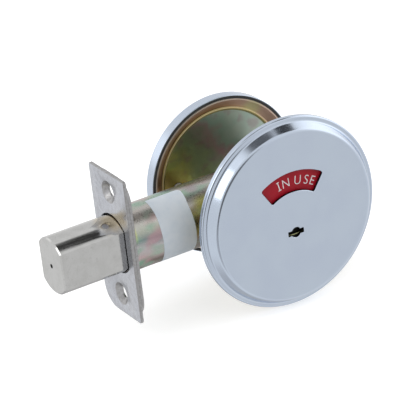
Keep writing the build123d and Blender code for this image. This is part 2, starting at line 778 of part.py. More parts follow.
# Inside mounting plate: a pressed dish with a bead, folded back at its edge to seat in the rose
dish_y = half_door + inner_plate_dish
fold_r = inner_plate_r - inner_plate_edge
slope_foot_r = fold_r - inner_plate_slope
dish_shift = inner_plate_sheet * cone_shift(inner_plate_slope, inner_plate_dish)
skirt_r = inner_plate_r - inner_plate_sheet
slope_drop = (skirt_r - slope_foot_r - dish_shift) * inner_plate_dish / inner_plate_slope
skirt_foot = dish_y + inner_plate_sheet - slope_drop
skirt_end = half_door + inner_rose_rim - inner_rose_sheet - inner_plate_seat_gap
with BuildPart() as inside_plate:
    with BuildSketch(inside_section) as dish_section:
        with BuildLine():
            Polyline(
                (0, dish_y),
                (slope_foot_r, dish_y),
                (fold_r, half_door),
                (inner_plate_r, half_door),
                (inner_plate_r, skirt_end),
                (skirt_r, skirt_end),
                (skirt_r, skirt_foot),
                (slope_foot_r + dish_shift, dish_y + inner_plate_sheet),
                (0, dish_y + inner_plate_sheet),
                close=True,
            )
        make_face()
        with Locations((slope_foot_r - 2 * inner_plate_bead, dish_y)):
            Circle(inner_plate_bead)
    revolve(axis=rose_axis)
    with BuildSketch(facing_out(dish_y + inner_plate_sheet)):
        with Locations((backset, spindle_z)):
            Circle(spindle_hole_r)
        with Locations(*screw_places):
            Circle(screw_r + plate_hole_gap)
    extrude(amount=inner_plate_sheet, mode=Mode.SUBTRACT)
inside_plate.part.label = "inside_plate"
export_step(inside_plate.part, "parts/inside_plate.step")

# Mounting screws: through the inside rose and the latch into the posts
screw_end = -(post_end + screw_in_post)
with BuildPart() as mounting_screws:
    with BuildSketch(facing_out(inner_face)):
        with Locations(*screw_places):
            Circle(screw_r)
    extrude(amount=inner_face - screw_end)
    chamfer(mounting_screws.edges().group_by(Axis.Y)[0], screw_tip_edge)
    with BuildSketch(facing_out(inner_face + screw_head)):
        with Locations(*screw_places):
            Circle(screw_head_r)
    extrude(amount=screw_head)
    fillet(mounting_screws.edges().group_by(Axis.Y)[-1], screw_head_round)
mounting_screws.part.label = "mounting_screws"
export_step(mounting_screws.part, "parts/mounting_screws.step")

# Thumbturn: a round base and a flared paddle on a short hollow shaft
turn_base_back = inner_face + turn_base_gap
turn_base_front = turn_base_back + turn_base
turn_clip_front = inner_face_back - spring_washer_height - clip_gap
turn_clip_back = turn_clip_front - clip_sheet
turn_groove_r = turn_shaft_r - clip_groove
paddle_root = turn_base_front - turn_round
paddle_shoulder = turn_base_front + turn_reach - turn_crown
paddle_waist = (turn_root_length + turn_length) / 4 - turn_waist
with BuildPart() as thumbturn:
    with BuildSketch(inside_spindle) as paddle:
        with BuildLine():
            ThreePointArc(
                (turn_root_length / 2, paddle_root),
                (paddle_waist, turn_base_front + turn_reach / 2),
                (turn_length / 2, paddle_shoulder),
            )
            ThreePointArc(
                (turn_length / 2, paddle_shoulder),
                (0, turn_base_front + turn_reach),
                (-turn_length / 2, paddle_shoulder),
            )
            ThreePointArc(
                (-turn_length / 2, paddle_shoulder),
                (-paddle_waist, turn_base_front + turn_reach / 2),
                (-turn_root_length / 2, paddle_root),
            )
            Line((-turn_root_length / 2, paddle_root), (turn_root_length / 2, paddle_root))
        make_face()
        fillet(paddle.vertices().group_by(Axis.Y)[-1], turn_corner)
    extrude(amount=turn_width / 2, both=True)
    rounded_edges = thumbturn.faces().filter_by(Axis.Z).edges().group_by(Axis.Y)[1:]
    fillet([edge for group in rounded_edges for edge in group], turn_edge)
    # base and shaft, with a groove for the clip and a socket for the blade
    with BuildSketch(inside_spindle):
        with Locations((0, turn_shaft_end)):
            Rectangle(turn_shaft_r, turn_base_back - turn_shaft_end, align=(Align.MIN, Align.MIN))
        with Locations((0, turn_base_back)):
            Rectangle(turn_base_r, turn_base, align=(Align.MIN, Align.MIN))
    revolve(axis=spindle_axis)
    base_rim = thumbturn.edges().filter_by(GeomType.CIRCLE).filter_by(
        lambda edge: abs(edge.radius - turn_base_r) < turn_base_gap)
    fillet(base_rim.sort_by(Axis.Y)[-1], turn_round)
    with BuildSketch(inside_spindle):
        with Locations((turn_groove_r, turn_clip_back - clip_gap)):
            Rectangle(turn_shaft_r, clip_sheet + 2 * clip_gap, align=(Align.MIN, Align.MIN))
    revolve(axis=spindle_axis, mode=Mode.SUBTRACT)
    with BuildSketch(spindle_plane(turn_shaft_end)):
        add(blade_section(blade_gap))
    extrude(amount=turn_shaft_end - blade_inner_end - blade_gap, mode=Mode.SUBTRACT)
thumbturn.part.label = "thumbturn"
export_step(thumbturn.part, "parts/thumbturn.step")

# Spring washer: a coned ring between the rose and the clip, whose drag keeps the turn where it is put
with BuildPart() as spring_washer:
    with BuildSketch(inside_spindle):
        with BuildLine():
            Polyline(
                (turn_shaft_r + turn_shaft_gap, turn_clip_front + clip_gap),
                (turn_shaft_r + turn_shaft_gap, turn_clip_front + clip_gap + spring_washer_sheet),
                (spring_washer_r, inner_face_back - clip_gap),
                (spring_washer_r, inner_face_back - clip_gap - spring_washer_sheet),
                close=True,
            )
        make_face()
    revolve(axis=spindle_axis)
spring_washer.part.label = "spring_washer"
export_step(spring_washer.part, "parts/spring_washer.step")

# Thumbturn clip: holds the shaft in the inside rose
with BuildPart() as turn_clip:
    with BuildSketch(spindle_plane(turn_clip_front)):
        add(clip_section(turn_groove_r))
    extrude(amount=clip_sheet)
turn_clip.part.label = "turn_clip"
export_step(turn_clip.part, "parts/turn_clip.step")
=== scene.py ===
"""Looks of a tubular deadbolt with an occupancy indicator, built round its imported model.

Sizes are millimetres in the model's own frame: +X runs into the door, -Y is the indicator's side,
+Y the thumbturn's side and +Z is up. Meshes are scaled to metres when a piece is finished.
"""
import logging
from collections.abc import Callable
from dataclasses import dataclass
from enum import Enum
from math import atan2, cos, pi, radians, sin, sqrt, tan
from typing import ClassVar

import bmesh
import bpy
from mathutils import Matrix, Vector


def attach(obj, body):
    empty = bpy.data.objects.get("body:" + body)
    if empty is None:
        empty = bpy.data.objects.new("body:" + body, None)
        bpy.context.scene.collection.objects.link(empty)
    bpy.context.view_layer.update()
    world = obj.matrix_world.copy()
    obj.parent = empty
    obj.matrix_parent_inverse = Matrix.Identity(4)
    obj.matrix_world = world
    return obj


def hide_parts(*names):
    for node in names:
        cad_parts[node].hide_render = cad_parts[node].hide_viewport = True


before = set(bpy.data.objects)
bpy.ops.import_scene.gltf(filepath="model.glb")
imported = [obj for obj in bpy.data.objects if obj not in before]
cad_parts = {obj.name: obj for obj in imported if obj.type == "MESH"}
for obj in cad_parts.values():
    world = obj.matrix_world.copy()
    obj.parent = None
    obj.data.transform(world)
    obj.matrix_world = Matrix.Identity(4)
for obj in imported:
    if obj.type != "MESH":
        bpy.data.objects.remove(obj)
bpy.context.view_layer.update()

log = logging.getLogger("deadbolt")
MM = 0.001
RELIEF = 0.05 * MM
SHARP_ANGLE = radians(34)
MERGE = 1e-4
TREE_MERGE = 0.002
ENDLESS = 1e6
MARK_LOW, MARK_HIGH = 0.25, 0.75
MARK_DETAIL, MARK_ROUGH = 3.0, 0.6
Point = tuple[float, float, float]
Flat = tuple[float, float]
Socket = bpy.types.NodeSocket


class Body(Enum):
    """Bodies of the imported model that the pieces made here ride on."""

    CASE = "case"
    INDICATOR = "indicator"


class Slot(Enum):
    """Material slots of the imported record."""

    SATIN_CHROME = "satin_chrome"
    SATIN_NICKEL = "satin_nickel"
    YELLOW_ZINC = "yellow_zinc"
    BARE_STEEL = "bare_steel"
    SCREW_STEEL = "screw_steel"
    ENAMEL = "indicator_enamel"


def linear(*screen: float) -> tuple[float, ...]:
    """Linear colour with alpha 1 of a screen colour's three parts, 0 to 255."""
    shares = [part / 255 for part in screen]
    return (*(s / 12.92 if s <= 0.04045 else ((s + 0.055) / 1.055) ** 2.4 for s in shares), 1.0)


@dataclass(frozen=True)
class Number:
    """Number that a node tree works out. Arithmetic on it adds Math nodes.

    Attributes:
        graph: Its tree.
        socket: The output that gives it.
    """

    graph: "Graph"
    socket: Socket

    def __add__(self, other: object) -> "Number":
        """Sum with another number."""
        return self.graph.math("ADD", self, other)

    def __sub__(self, other: object) -> "Number":
        """Rest after another number is taken away."""
        return self.graph.math("SUBTRACT", self, other)

    def __rsub__(self, other: float) -> "Number":
        """Rest of a plain number after this one is taken away."""
        return self.graph.math("SUBTRACT", other, self)

    def __mul__(self, other: object) -> "Number":
        """Product with another number."""
        return self.graph.math("MULTIPLY", self, other)

    def __truediv__(self, other: object) -> "Number":
        """Share that it is of another number."""
        return self.graph.math("DIVIDE", self, other)

    def __pow__(self, other: object) -> "Number":
        """Power of it."""
        return self.graph.math("POWER", self, other)


class Graph:
    """Short way to add nodes to a tree and join them."""

    def __init__(self, tree: bpy.types.NodeTree) -> None:
        """Starts on an emptied tree."""
        self.tree = tree
        tree.nodes.clear()

    def add(self, kind: str, inputs: dict | None = None, **settings: object) -> bpy.types.Node:
        """Adds a node.

        Args:
            kind: The node's type name.
            inputs: Values, numbers, sockets or lists of sockets by the input's name or index.
            settings: Properties of the node.

        Returns:
            The node.
        """
        node = self.tree.nodes.new(kind)
        for key, value in settings.items():
            setattr(node, key, value)
        for key, value in (inputs or {}).items():
            several = isinstance(value, list) and isinstance(value[0], Socket)
            for item in value if several else [value]:
                if isinstance(item, Number):
                    item = item.socket
                if isinstance(item, Socket):
                    self.tree.links.new(item, node.inputs[key])
                else:
                    node.inputs[key].default_value = item
        return node

    def math(self, operation: str, *values: object) -> Number:
        """Result of a Math node."""
        node = self.add("ShaderNodeMath", dict(enumerate(values)), operation=operation)
        return Number(self, node.outputs[0])

    def vector(self, operation: str, *values: object) -> Socket:
        """Vector that a Vector Math node gives."""
        node = self.add("ShaderNodeVectorMath", dict(enumerate(values)), operation=operation)
        return node.outputs[0]

    def fit(self, value: object, low: float, high: float, start: float, end: float) -> Number:
        """Value eased from one range to another.

        Args:
            value: The value.
            low, high: The range that it comes from.
            start, end: The range that it goes to.

        Returns:
            The eased value.
        """
        names = {"Value": value, "From Min": low, "From Max": high, "To Min": start, "To Max": end}
        node = self.add("ShaderNodeMapRange", names, interpolation_type="SMOOTHSTEP")
        return Number(self, node.outputs[0])

    def split(self, vector: object) -> list[Number]:
        """The three parts of a vector."""
        parts = self.add("ShaderNodeSeparateXYZ", {0: vector}).outputs
        return [Number(self, part) for part in parts[:3]]

    def mix(self, share: object, first: object, second: object) -> Socket:
        """Two colours mixed by a share of the second."""
        node = self.add("ShaderNodeMix", {0: share, 6: first, 7: second}, data_type="RGBA")
        return node.outputs[2]

    def places(self, scale: Point = (1, 1, 1), centre: Point = (0, 0, 0)) -> Socket:
        """Place on the object in millimetres.

        Args:
            scale: Stretch along each axis.
            centre: The place that becomes the origin.

        Returns:
            The place.
        """
        coordinates = self.add("ShaderNodeTexCoord").outputs["Object"]
        shifted = self.vector("SUBTRACT", coordinates, [value * MM for value in centre])
        return self.vector("MULTIPLY", shifted, [value / MM for value in scale])

    def noise(self, vector: object, size: float, detail: float, rough: float = 0.5) -> Number:
        """Noise about 0.5 with features of about the given size."""
        names = {"Vector": vector, "Scale": 1 / size, "Detail": detail, "Roughness": rough}
        return Number(self, self.add("ShaderNodeTexNoise", names).outputs[0])

    def away(self, place: object, centre: Point, reach: Point) -> Number:
        """Distance from a centre, where 1 is an ellipsoid.

        Args:
            place: The place.
            centre: The centre.
            reach: Half sizes of the ellipsoid.

        Returns:
            The distance.
        """
        offset = self.vector("DIVIDE", self.vector("SUBTRACT", place, centre), reach)
        node = self.add("ShaderNodeVectorMath", {0: offset}, operation="LENGTH")
        return Number(self, node.outputs["Value"])

    def ramp(self, value: object, stops: tuple[tuple[float, Point], ...]) -> Socket:
        """Colour read from a row of colours.

        Args:
            value: Where to read, 0 to 1.
            stops: Place and screen colour of each colour of the row.

        Returns:
            The colour.
        """
        node = self.add("ShaderNodeValToRGB", {"Fac": value})
        row = node.color_ramp.elements
        while len(row) < len(stops):
            row.new(0.5)
        for element, (place, colour) in zip(row, stops):
            element.position = place
            element.color = linear(*colour)
        return node.outputs[0]

    def worked(self, place: Socket, size: float, roughness: float, spread: float, depth: float,
               inputs: dict) -> Socket:
        """Shader whose roughness and relief follow fine marks.

        Args:
            place: Where the marks are read.
            size: Size of the marks in millimetres.
            roughness: Middle roughness.
            spread: How far the roughness moves either way.
            depth: Strength of the relief.
            inputs: The shader's other inputs.

        Returns:
            The shader.
        """
        marks = self.noise(place, size, MARK_DETAIL, MARK_ROUGH)
        rough = self.fit(marks, MARK_LOW, MARK_HIGH, roughness - spread, roughness + spread)
        bump = self.add("ShaderNodeBump", {"Height": marks, "Strength": depth, "Distance": RELIEF})
        return self.add("ShaderNodeBsdfPrincipled", {
            **inputs, "Roughness": rough, "Normal": bump.outputs[0]}).outputs[0]


class Grain(Enum):
    """How a surface was worked: the stretch of its marks along x, y and z."""

    SATIN = (1.0, 1.0, 1.0)
    DRAWN_ALONG_X = (0.06, 1.0, 1.0)
    BRUSHED_ALONG_X = (0.08, 1.0, 1.0)
    BRUSHED_ALONG_Z = (1.0, 1.0, 0.1)


@dataclass(frozen=True)
class Cloud:
    """Scattered patches of another colour.

    Attributes:
        colour: Their screen colour.
        share: How strong they are at most.
        size: Their size in millimetres.
        detail: How many finer steps their outlines have.
        rough: How strong those steps are.
        low, high: Levels of noise between which a patch comes in.
        stretch, origin: Stretch and place of their pattern.
    """

    colour: Point
    share: float
    size: float
    detail: float = 2.0
    rough: float = 0.5
    low: float = 0.35
    high: float = 0.7
    stretch: Point = (1, 1, 1)
    origin: Point = (0, 0, 0)

    def over(self, graph: Graph, base: object) -> Socket:
        """The base colour with the patches over it.

        Args:
            graph: The material's tree.
            base: The base colour.

        Returns:
            The mixed colour.
        """
        place = graph.places(self.stretch, self.origin)
        noise = graph.noise(place, self.size, self.detail, self.rough)
        share = graph.fit(noise, self.low, self.high, 0.0, self.share)
        return graph.mix(share, base, linear(*self.colour))


@dataclass(frozen=True)
class Spot:
    """Soft patch of another colour at one place.

    Attributes:
        centre: Its middle in millimetres.
        reach: Its half sizes.
        colour: Its screen colour.
        share: How strong it is at its middle.
        ragged: How uneven its outline is.
        inner, outer: Distances between which it fades out.
        rough_inner, rough_outer: The same for an uneven one.
        torn: Size of the unevenness in millimetres.
    """

    centre: Point
    reach: Point
    colour: Point
    share: float
    ragged: float = 0.0
    inner: float = 0.3
    outer: float = 1.3
    rough_inner: float = 0.75
    rough_outer: float = 1.85
    torn: float = 3.0

    def over(self, graph: Graph, base: object) -> Socket:
        """The base colour with the patch over it.

        Args:
            graph: The material's tree.
            base: The base colour.

        Returns:
            The mixed colour.
        """
        place = graph.places()
        distance = graph.away(place, self.centre, self.reach)
        low, high = self.inner, self.outer
        if self.ragged:
            distance = distance + graph.noise(place, self.torn, detail=3.0) * self.ragged
            low, high = self.rough_inner, self.rough_outer
        share = graph.fit(distance, low, high, self.share, 0.0)
        return graph.mix(share, base, linear(*self.colour))


@dataclass(frozen=True)
class Finish:
    """Any finish: a named material, made once."""

    name: str

    def material(self) -> bpy.types.Material:
        """The finish as a material.

        Returns:
            The material, made when it is first asked for.
        """
        made = bpy.data.materials.get(self.name)
        if made is None:
            made = bpy.data.materials.new(self.name)
            made.use_nodes = True
            graph = Graph(made.node_tree)
            graph.add("ShaderNodeOutputMaterial", {"Surface": self.surface(graph)})
        return made

    def surface(self, graph: Graph) -> Socket:
        """Shader of the finish."""
        raise NotImplementedError


@dataclass(frozen=True)
class MetalFinish(Finish):
    """Metal whose colour drifts and whose roughness and relief come from how it was worked.

    Attributes:
        colour: Screen colour of the metal, 0 to 255.
        tint: Screen colour that it drifts towards in patches.
        drift: Largest share of the tint.
        patch: Size of the patches in millimetres.
        roughness: Middle roughness.
        spread: How far the roughness moves either way.
        grain: Direction of the marks.
        mark: Size of the marks in millimetres.
        depth: Strength of their relief.
        metallic: How much of it shows as bare metal.
    """

    colour: Point = (180, 180, 180)
    tint: Point = (165, 165, 165)
    drift: float = 0.3
    patch: float = 9.0
    roughness: float = 0.3
    spread: float = 0.05
    grain: Grain = Grain.SATIN
    mark: float = 0.35
    depth: float = 0.05
    metallic: float = 1.0

    def colours(self, graph: Graph) -> Socket:
        """Colour of the metal from place to place."""
        patches = Cloud(self.tint, self.drift, self.patch, detail=3.0)
        return patches.over(graph, linear(*self.colour))

    def bare(self, graph: Graph) -> object:
        """How much shows as bare metal, from place to place."""
        return self.metallic

    def surface(self, graph: Graph) -> Socket:
        """Shader of the metal."""
        looks = {"Base Color": self.colours(graph), "Metallic": self.bare(graph)}
        return graph.worked(graph.places(self.grain.value), self.mark, self.roughness,
                            self.spread, self.depth, looks)


@dataclass(frozen=True)
class PatchedMetal(MetalFinish):
    """Metal with patches of other colours.

    Attributes:
        clouds: The scattered patches.
        spots: The patches at given places.
    """

    clouds: tuple[Cloud, ...] = ()
    spots: tuple[Spot, ...] = ()

    def colours(self, graph: Graph) -> Socket:
        """Colour with its patches.

        Args:
            graph: The material's tree.

        Returns:
            The colour.
        """
        colour = super().colours(graph)
        for patch in (*self.spots, *self.clouds):
            colour = patch.over(graph, colour)
        return colour


@dataclass(frozen=True)
class TubeFilmWithPaintedLight(PatchedMetal):
    """Yellow passivation on the round tube, whose colours run in soft bands along it, darker
    towards the bottom as painted shade.

    Attributes:
        radius: The tube's radius.
        wander: How far the bands stray.
        wave, length: Stretch along the tube and size of the waves in which they stray.
        bands: Colours from the tube's top, 0, to its bottom, 1, with painted shade that darkens
            them towards the bottom.
    """

    radius: float = 12.05
    wander: float = 0.12
    wave: float = 0.45
    length: float = 7.0
    bands: tuple[tuple[float, Point], ...] = (
        (0.0, (190, 186, 182)), (0.07, (192, 184, 176)), (0.17, (204, 202, 196)),
        (0.27, (178, 182, 170)), (0.37, (128, 140, 142)), (0.48, (196, 190, 192)),
        (0.62, (180, 168, 166)), (0.72, (114, 102, 96)), (1.0, (88, 78, 60)))

    def colours(self, graph: Graph) -> Socket:
        """Bands read from the height on the tube, with their painted shade, and clouds and then
        spots over them, the spots painted highlights.

        Args:
            graph: The material's tree.

        Returns:
            The colour.
        """
        height = graph.split(graph.places())[2] / (2 * self.radius)
        waves = graph.noise(graph.places((self.wave, 1, 1)), self.length, detail=3.0,
                            rough=0.45)
        colour = graph.ramp(0.5 - height + (waves - 0.5) * (2 * self.wander), self.bands)
        for patch in (*self.clouds, *self.spots):
            colour = patch.over(graph, colour)
        return colour


@dataclass(frozen=True)
class DishFilmWithPaintedLight(PatchedMetal):
    """Yellow passivation on a pressed dish: rings of colour at its edge, soft colours inside; thin
    bright rings are painted highlights, the darker slope painted shade, and the spots on it painted
    light.

    Attributes:
        axis: Place of the dish's axis, x and z.
        slope: Radius where the slope to its rim starts, which has the spots of painted light.
        rim: Radius where its flat rim starts.
        worn: How much of the rim shows as bare metal, lowered so that the rim's bright ring colour
            shows as a painted highlight.
        span: Half the width that the inner colours run over.
        run: Shares of x and z in the direction that they run in.
        blur, wander: Size of the waves in which they stray, and how far they do.
        inside: Inner colours from lower left to upper right, seen from the outside.
        rings: Radius where each ring starts, the width over which it comes in, and its colour; the
            thin bright rings are painted highlights on the bead's corner and the rim, the dark
            brown ones on the slope painted shade.
        ring_share: How strong the rings are.
        ease: Width over which the spots come in.
        rim_ease: Half the width over which that lower share at the rim comes in.
    """

    axis: Flat = (60.325, 0.0)
    slope: float = 25.8
    rim: float = 29.3
    worn: float = 0.55
    span: float = 20.0
    run: Flat = (0.8, 0.6)
    blur: float = 8.0
    wander: float = 0.5
    inside: tuple[tuple[float, Point], ...] = (
        (0.0, (200, 180, 104)), (0.14, (210, 212, 128)), (0.28, (188, 198, 142)),
        (0.45, (170, 188, 148)), (0.62, (158, 166, 146)), (0.75, (182, 164, 164)),
        (0.86, (166, 190, 178)), (1.0, (182, 198, 186)))
    # The thin bright rings at 25.5 and 29.2 are painted highlights; the dark brown rings from 25.85
    # on are painted shade on the slope.
    rings: tuple[tuple[float, float, Point], ...] = (
        (24.5, 0.5, (140, 130, 80)), (25.5, 0.15, (240, 226, 182)), (25.85, 0.4, (128, 88, 62)),
        (27.6, 1.6, (166, 128, 108)), (29.2, 0.15, (230, 216, 204)))
    ring_share: float = 0.92
    ease: float = 0.3
    rim_ease: float = 0.1

    def colours(self, graph: Graph) -> Socket:
        """Cloudy inner colours, the rings with their painted highlights and painted shade, and the
        spots of painted light on the slope.

        Args:
            graph: The material's tree.

        Returns:
            The colour.
        """
        place = graph.places()
        x, _, z = graph.split(place)
        x, z = x - self.axis[0], z - self.axis[1]
        along = graph.fit(x * self.run[0] + z * self.run[1], -self.span, self.span, 0.0, 1.0)
        stray = (graph.noise(place, self.blur, detail=3.0) - 0.5) * self.wander
        colour = graph.ramp(along + stray, self.inside)
        for cloud in self.clouds:
            colour = cloud.over(graph, colour)
        radius = graph.math("SQRT", x * x + z * z)
        # Bright rings paint highlights, dark brown rings paint shade on the slope.
        for start, width, ring in self.rings:
            share = graph.fit(radius, start, start + width, 0.0, self.ring_share)
            colour = graph.mix(share, colour, linear(*ring))
        spotted = colour
        # The spots paint light on the slope.
        for spot in self.spots:
            spotted = spot.over(graph, spotted)
        on_slope = graph.fit(radius, self.slope, self.slope + self.ease, 0.0, 1.0)
        return graph.mix(on_slope, colour, spotted)

    def bare(self, graph: Graph) -> Number:
        """How much shows as bare metal, less at the rim, whose bright ring colour shows there as a
        painted highlight.

        Args:
            graph: The material's tree.

        Returns:
            The share.
        """
        centre = (self.axis[0], 0.0, self.axis[1])
        radius = graph.away(graph.places(), centre, (1.0, ENDLESS, 1.0))
        return graph.fit(radius, self.rim - self.rim_ease, self.rim + self.rim_ease, 1.0, self.worn)


@dataclass(frozen=True)
class CoatFinish(Finish):
    """Paint, ink, paper or rubber: a plain coat with a fine grain.

    Attributes:
        colour: Screen colour, 0 to 255.
        shade: Screen colour of its soft patches.
        roughness: Roughness of the coat.
        grain: Size of its grain in millimetres.
        depth: Strength of the grain's relief.
        shine: Specular level.
        spread: How far the roughness moves either way.
        patch: Size of its patches in millimetres.
    """

    colour: Point
    shade: Point
    roughness: float = 0.5
    grain: float = 0.3
    depth: float = 0.1
    shine: float = 0.5
    spread: float = 0.05
    patch: float = 4.0

    def surface(self, graph: Graph) -> Socket:
        """Shader of the coat."""
        colour = Cloud(self.shade, 1.0, self.patch).over(graph, linear(*self.colour))
        return graph.worked(graph.places(), self.grain, self.roughness, self.spread, self.depth,
                            {"Base Color": colour, "Specular IOR Level": self.shine})


def speckles(colour: Point, share: float, size: float) -> tuple[Cloud, ...]:
    """Fine dark speckles."""
    return (Cloud(colour, share, size, detail=4.0, rough=0.7, low=0.56, high=0.72),)


SATIN_CHROME = MetalFinish(
    "satin_chrome_plate", (199, 210, 225), (190, 200, 219), drift=0.35, patch=14.0,
    roughness=0.17, spread=0.03, grain=Grain.BRUSHED_ALONG_X, mark=0.6, depth=0.02)
DIECAST_CHROME = MetalFinish(
    "satin_diecast_chrome", (198, 208, 222), (190, 199, 215), patch=7.0, roughness=0.2,
    spread=0.04, mark=0.8, depth=0.03)
PLATE_NICKEL = PatchedMetal(
    "satin_nickel_plate", (198, 201, 208), (178, 178, 184), drift=0.6, patch=2.2, roughness=0.24,
    spread=0.06, grain=Grain.BRUSHED_ALONG_Z, mark=0.5, depth=0.06,
    clouds=speckles((150, 146, 144), share=0.35, size=0.8))
PLATE_EDGE = PatchedMetal(
    "worn_plate_edge", (176, 176, 178), (150, 148, 146), drift=0.7, patch=0.9, roughness=0.34,
    mark=0.4, clouds=speckles((120, 114, 108), share=0.5, size=0.7))
FRAME_ZINC = MetalFinish(
    "yellow_zinc_frame", (160, 152, 118), (150, 132, 128), drift=0.6, patch=4.0, roughness=0.36,
    spread=0.06, mark=0.4)
BOLT_NICKEL = PatchedMetal(
    "ground_nickel_bolt", (199, 199, 198), (189, 189, 187), drift=0.6, patch=4.0,
    roughness=0.12, spread=0.06, grain=Grain.DRAWN_ALONG_X, mark=0.9, depth=0.12,
    clouds=speckles((96, 92, 90), share=0.12, size=1.4),
    spots=(Spot((-1.5, -3.0, 11.5), (5.5, 7.0, 4.0), (206, 188, 152), 0.8, ragged=0.7),))
BARE_STEEL = MetalFinish(
    "clear_zinc_steel", (190, 194, 198), (168, 174, 186), drift=0.5, patch=4.0, roughness=0.32,
    spread=0.06, mark=0.4)
HARDENED_STEEL = MetalFinish(
    "hardened_steel", (140, 138, 138), (112, 108, 110), drift=0.4, patch=3.0, roughness=0.26,
    mark=0.3)
SPRING_STEEL = MetalFinish(
    "blued_spring_steel", (92, 94, 104), (72, 78, 104), drift=0.5, patch=2.0, mark=0.3)
SCREW_STEEL = PatchedMetal(
    "bright_zinc_screw", (200, 202, 204), (182, 188, 196), drift=0.4, patch=2.0,
    roughness=0.42, mark=0.3,
    # Dark olive spot over the shanks, fading out at the heads: painted shade inside the lock.
    spots=(Spot((60.3, -4.0, 0.0), (90.0, 33.0, 90.0), (84, 76, 48), 1.0, ragged=0.7),))
BLACKED_STEEL = PatchedMetal(
    "blackened_rotor", (34, 34, 36), (24, 24, 26), drift=0.5, patch=1.2, roughness=0.36,
    mark=0.2, metallic=0.2,
    # The pale strip along the keyhole slot's lower edge is a painted highlight.
    spots=(Spot((60.3, -26.2, -7.65), (3.4, 0.4, 0.3), (240, 244, 180), 1.0, ragged=0.7),))
# Cut edges, darkened nearly to black as a painted shadow in the openings.
SHEARED_EDGE_AND_SHADOW = MetalFinish(
    "sheared_edge_painted_shadow", (40, 30, 34), (30, 22, 26), drift=0.5, patch=0.8, roughness=0.6, mark=0.2)
TUBE_ZINC = TubeFilmWithPaintedLight(
    "yellow_zinc_tube_painted_light", mark=0.8, depth=0.04,
    clouds=(Cloud((198, 148, 158), share=0.5, size=5.0, detail=1.0, low=0.5,
                  stretch=(0.6, 1, 1), origin=(9, 4, 0)),
            Cloud((132, 180, 156), share=0.6, size=5.5, detail=1.0, low=0.46,
                  stretch=(0.6, 1, 1), origin=(3, 31, 9))),
    # Spots are painted highlights: yellow and pink right of the label, yellow-green on the flange
    # behind the faceplate.
    spots=(Spot((33.6, -8.6, 8.2), (4.4, 3.2, 4.0), (192, 192, 106), 0.8),
           Spot((32.5, -2.5, 11.6), (3.0, 2.6, 2.0), (178, 160, 168), 0.7),
           Spot((3.2, -9.0, 7.5), (1.1, 5.0, 5.0), (206, 208, 140), 0.8)))
VIOLET_CLOUDS = (Cloud((168, 124, 140), share=0.35, size=5.0, low=0.52, high=0.72,
                       origin=(7, 40, 3)),)
DISH_ZINC = DishFilmWithPaintedLight(
    "yellow_zinc_dish_painted_light", roughness=0.34, mark=0.8, depth=0.04, clouds=VIOLET_CLOUDS,
    # Spots of painted light on the slope's upper right.
    spots=(Spot((80.0, 22.0, 20.0), (17.0, 30.0, 14.0), (216, 186, 168), 0.65),
           Spot((76.0, 22.0, 22.0), (4.0, 30.0, 5.0), (196, 206, 140), 0.5)))
WIDE_DISH_ZINC = DishFilmWithPaintedLight(
    "yellow_zinc_wide_dish_painted_light", roughness=0.34, mark=0.8, depth=0.04, clouds=VIOLET_CLOUDS,
    # The last, thin bright ring is a painted highlight on the rim.
    span=28.0, rim=35.4, rings=((27.5, 1.2, (150, 140, 92)), (31.0, 2.5, (160, 132, 112)),
                                (35.2, 0.2, (206, 196, 160))))
RED_ENAMEL = CoatFinish("red_enamel", (170, 18, 38), (160, 14, 34), roughness=0.42, grain=0.5,
                        depth=0.04, shine=0.25)
GREEN_ENAMEL = CoatFinish("green_enamel", (32, 118, 68), (26, 108, 60), roughness=0.42,
                          grain=0.5, depth=0.04, shine=0.25)
WHITE_INK = CoatFinish("white_ink", (236, 232, 232), (226, 220, 222))
PAPER = CoatFinish("label_paper", (222, 230, 238), (214, 224, 234), roughness=0.6, grain=0.2,
                   depth=0.08)
RUBBER = CoatFinish("black_rubber", (9, 8, 9), (5, 5, 6), roughness=0.8, grain=0.4, depth=0.3,
                    shine=0.05)


def rounded(corners: list[Point], closed: bool, steps: int = 6) -> list[Flat]:
    """Flat path with rounded corners.

    Args:
        corners: Each corner's two coordinates and its radius.
        closed: Whether the last corner joins the first.
        steps: Parts of each round.

    Returns:
        Points of the path.
    """
    path = []
    count = len(corners)
    for i, (x, y, radius) in enumerate(corners):
        if radius <= 0 or (not closed and i in (0, count - 1)):
            path.append((x, y))
            continue
        here = Vector((x, y))
        before = (Vector(corners[i - 1][:2]) - here).normalized()
        after = (Vector(corners[(i + 1) % count][:2]) - here).normalized()
        half = before.angle(after) / 2
        middle = here + (before + after).normalized() * (radius / sin(half))
        start = here + before * (radius / tan(half)) - middle
        end = here + after * (radius / tan(half)) - middle
        sweep = atan2(start.x * end.y - start.y * end.x, start.dot(end))
        for step in range(steps + 1):
            turned = Matrix.Rotation(sweep * step / steps, 2) @ start
            path.append((middle.x + turned.x, middle.y + turned.y))
    return path


def circle(x: float, z: float, radius: float, count: int = 64) -> list[Flat]:
    """Points round a centre, x and z."""
    turns = [2 * pi * i / count for i in range(count)]
    return [(x + radius * cos(turn), z + radius * sin(turn)) for turn in turns]


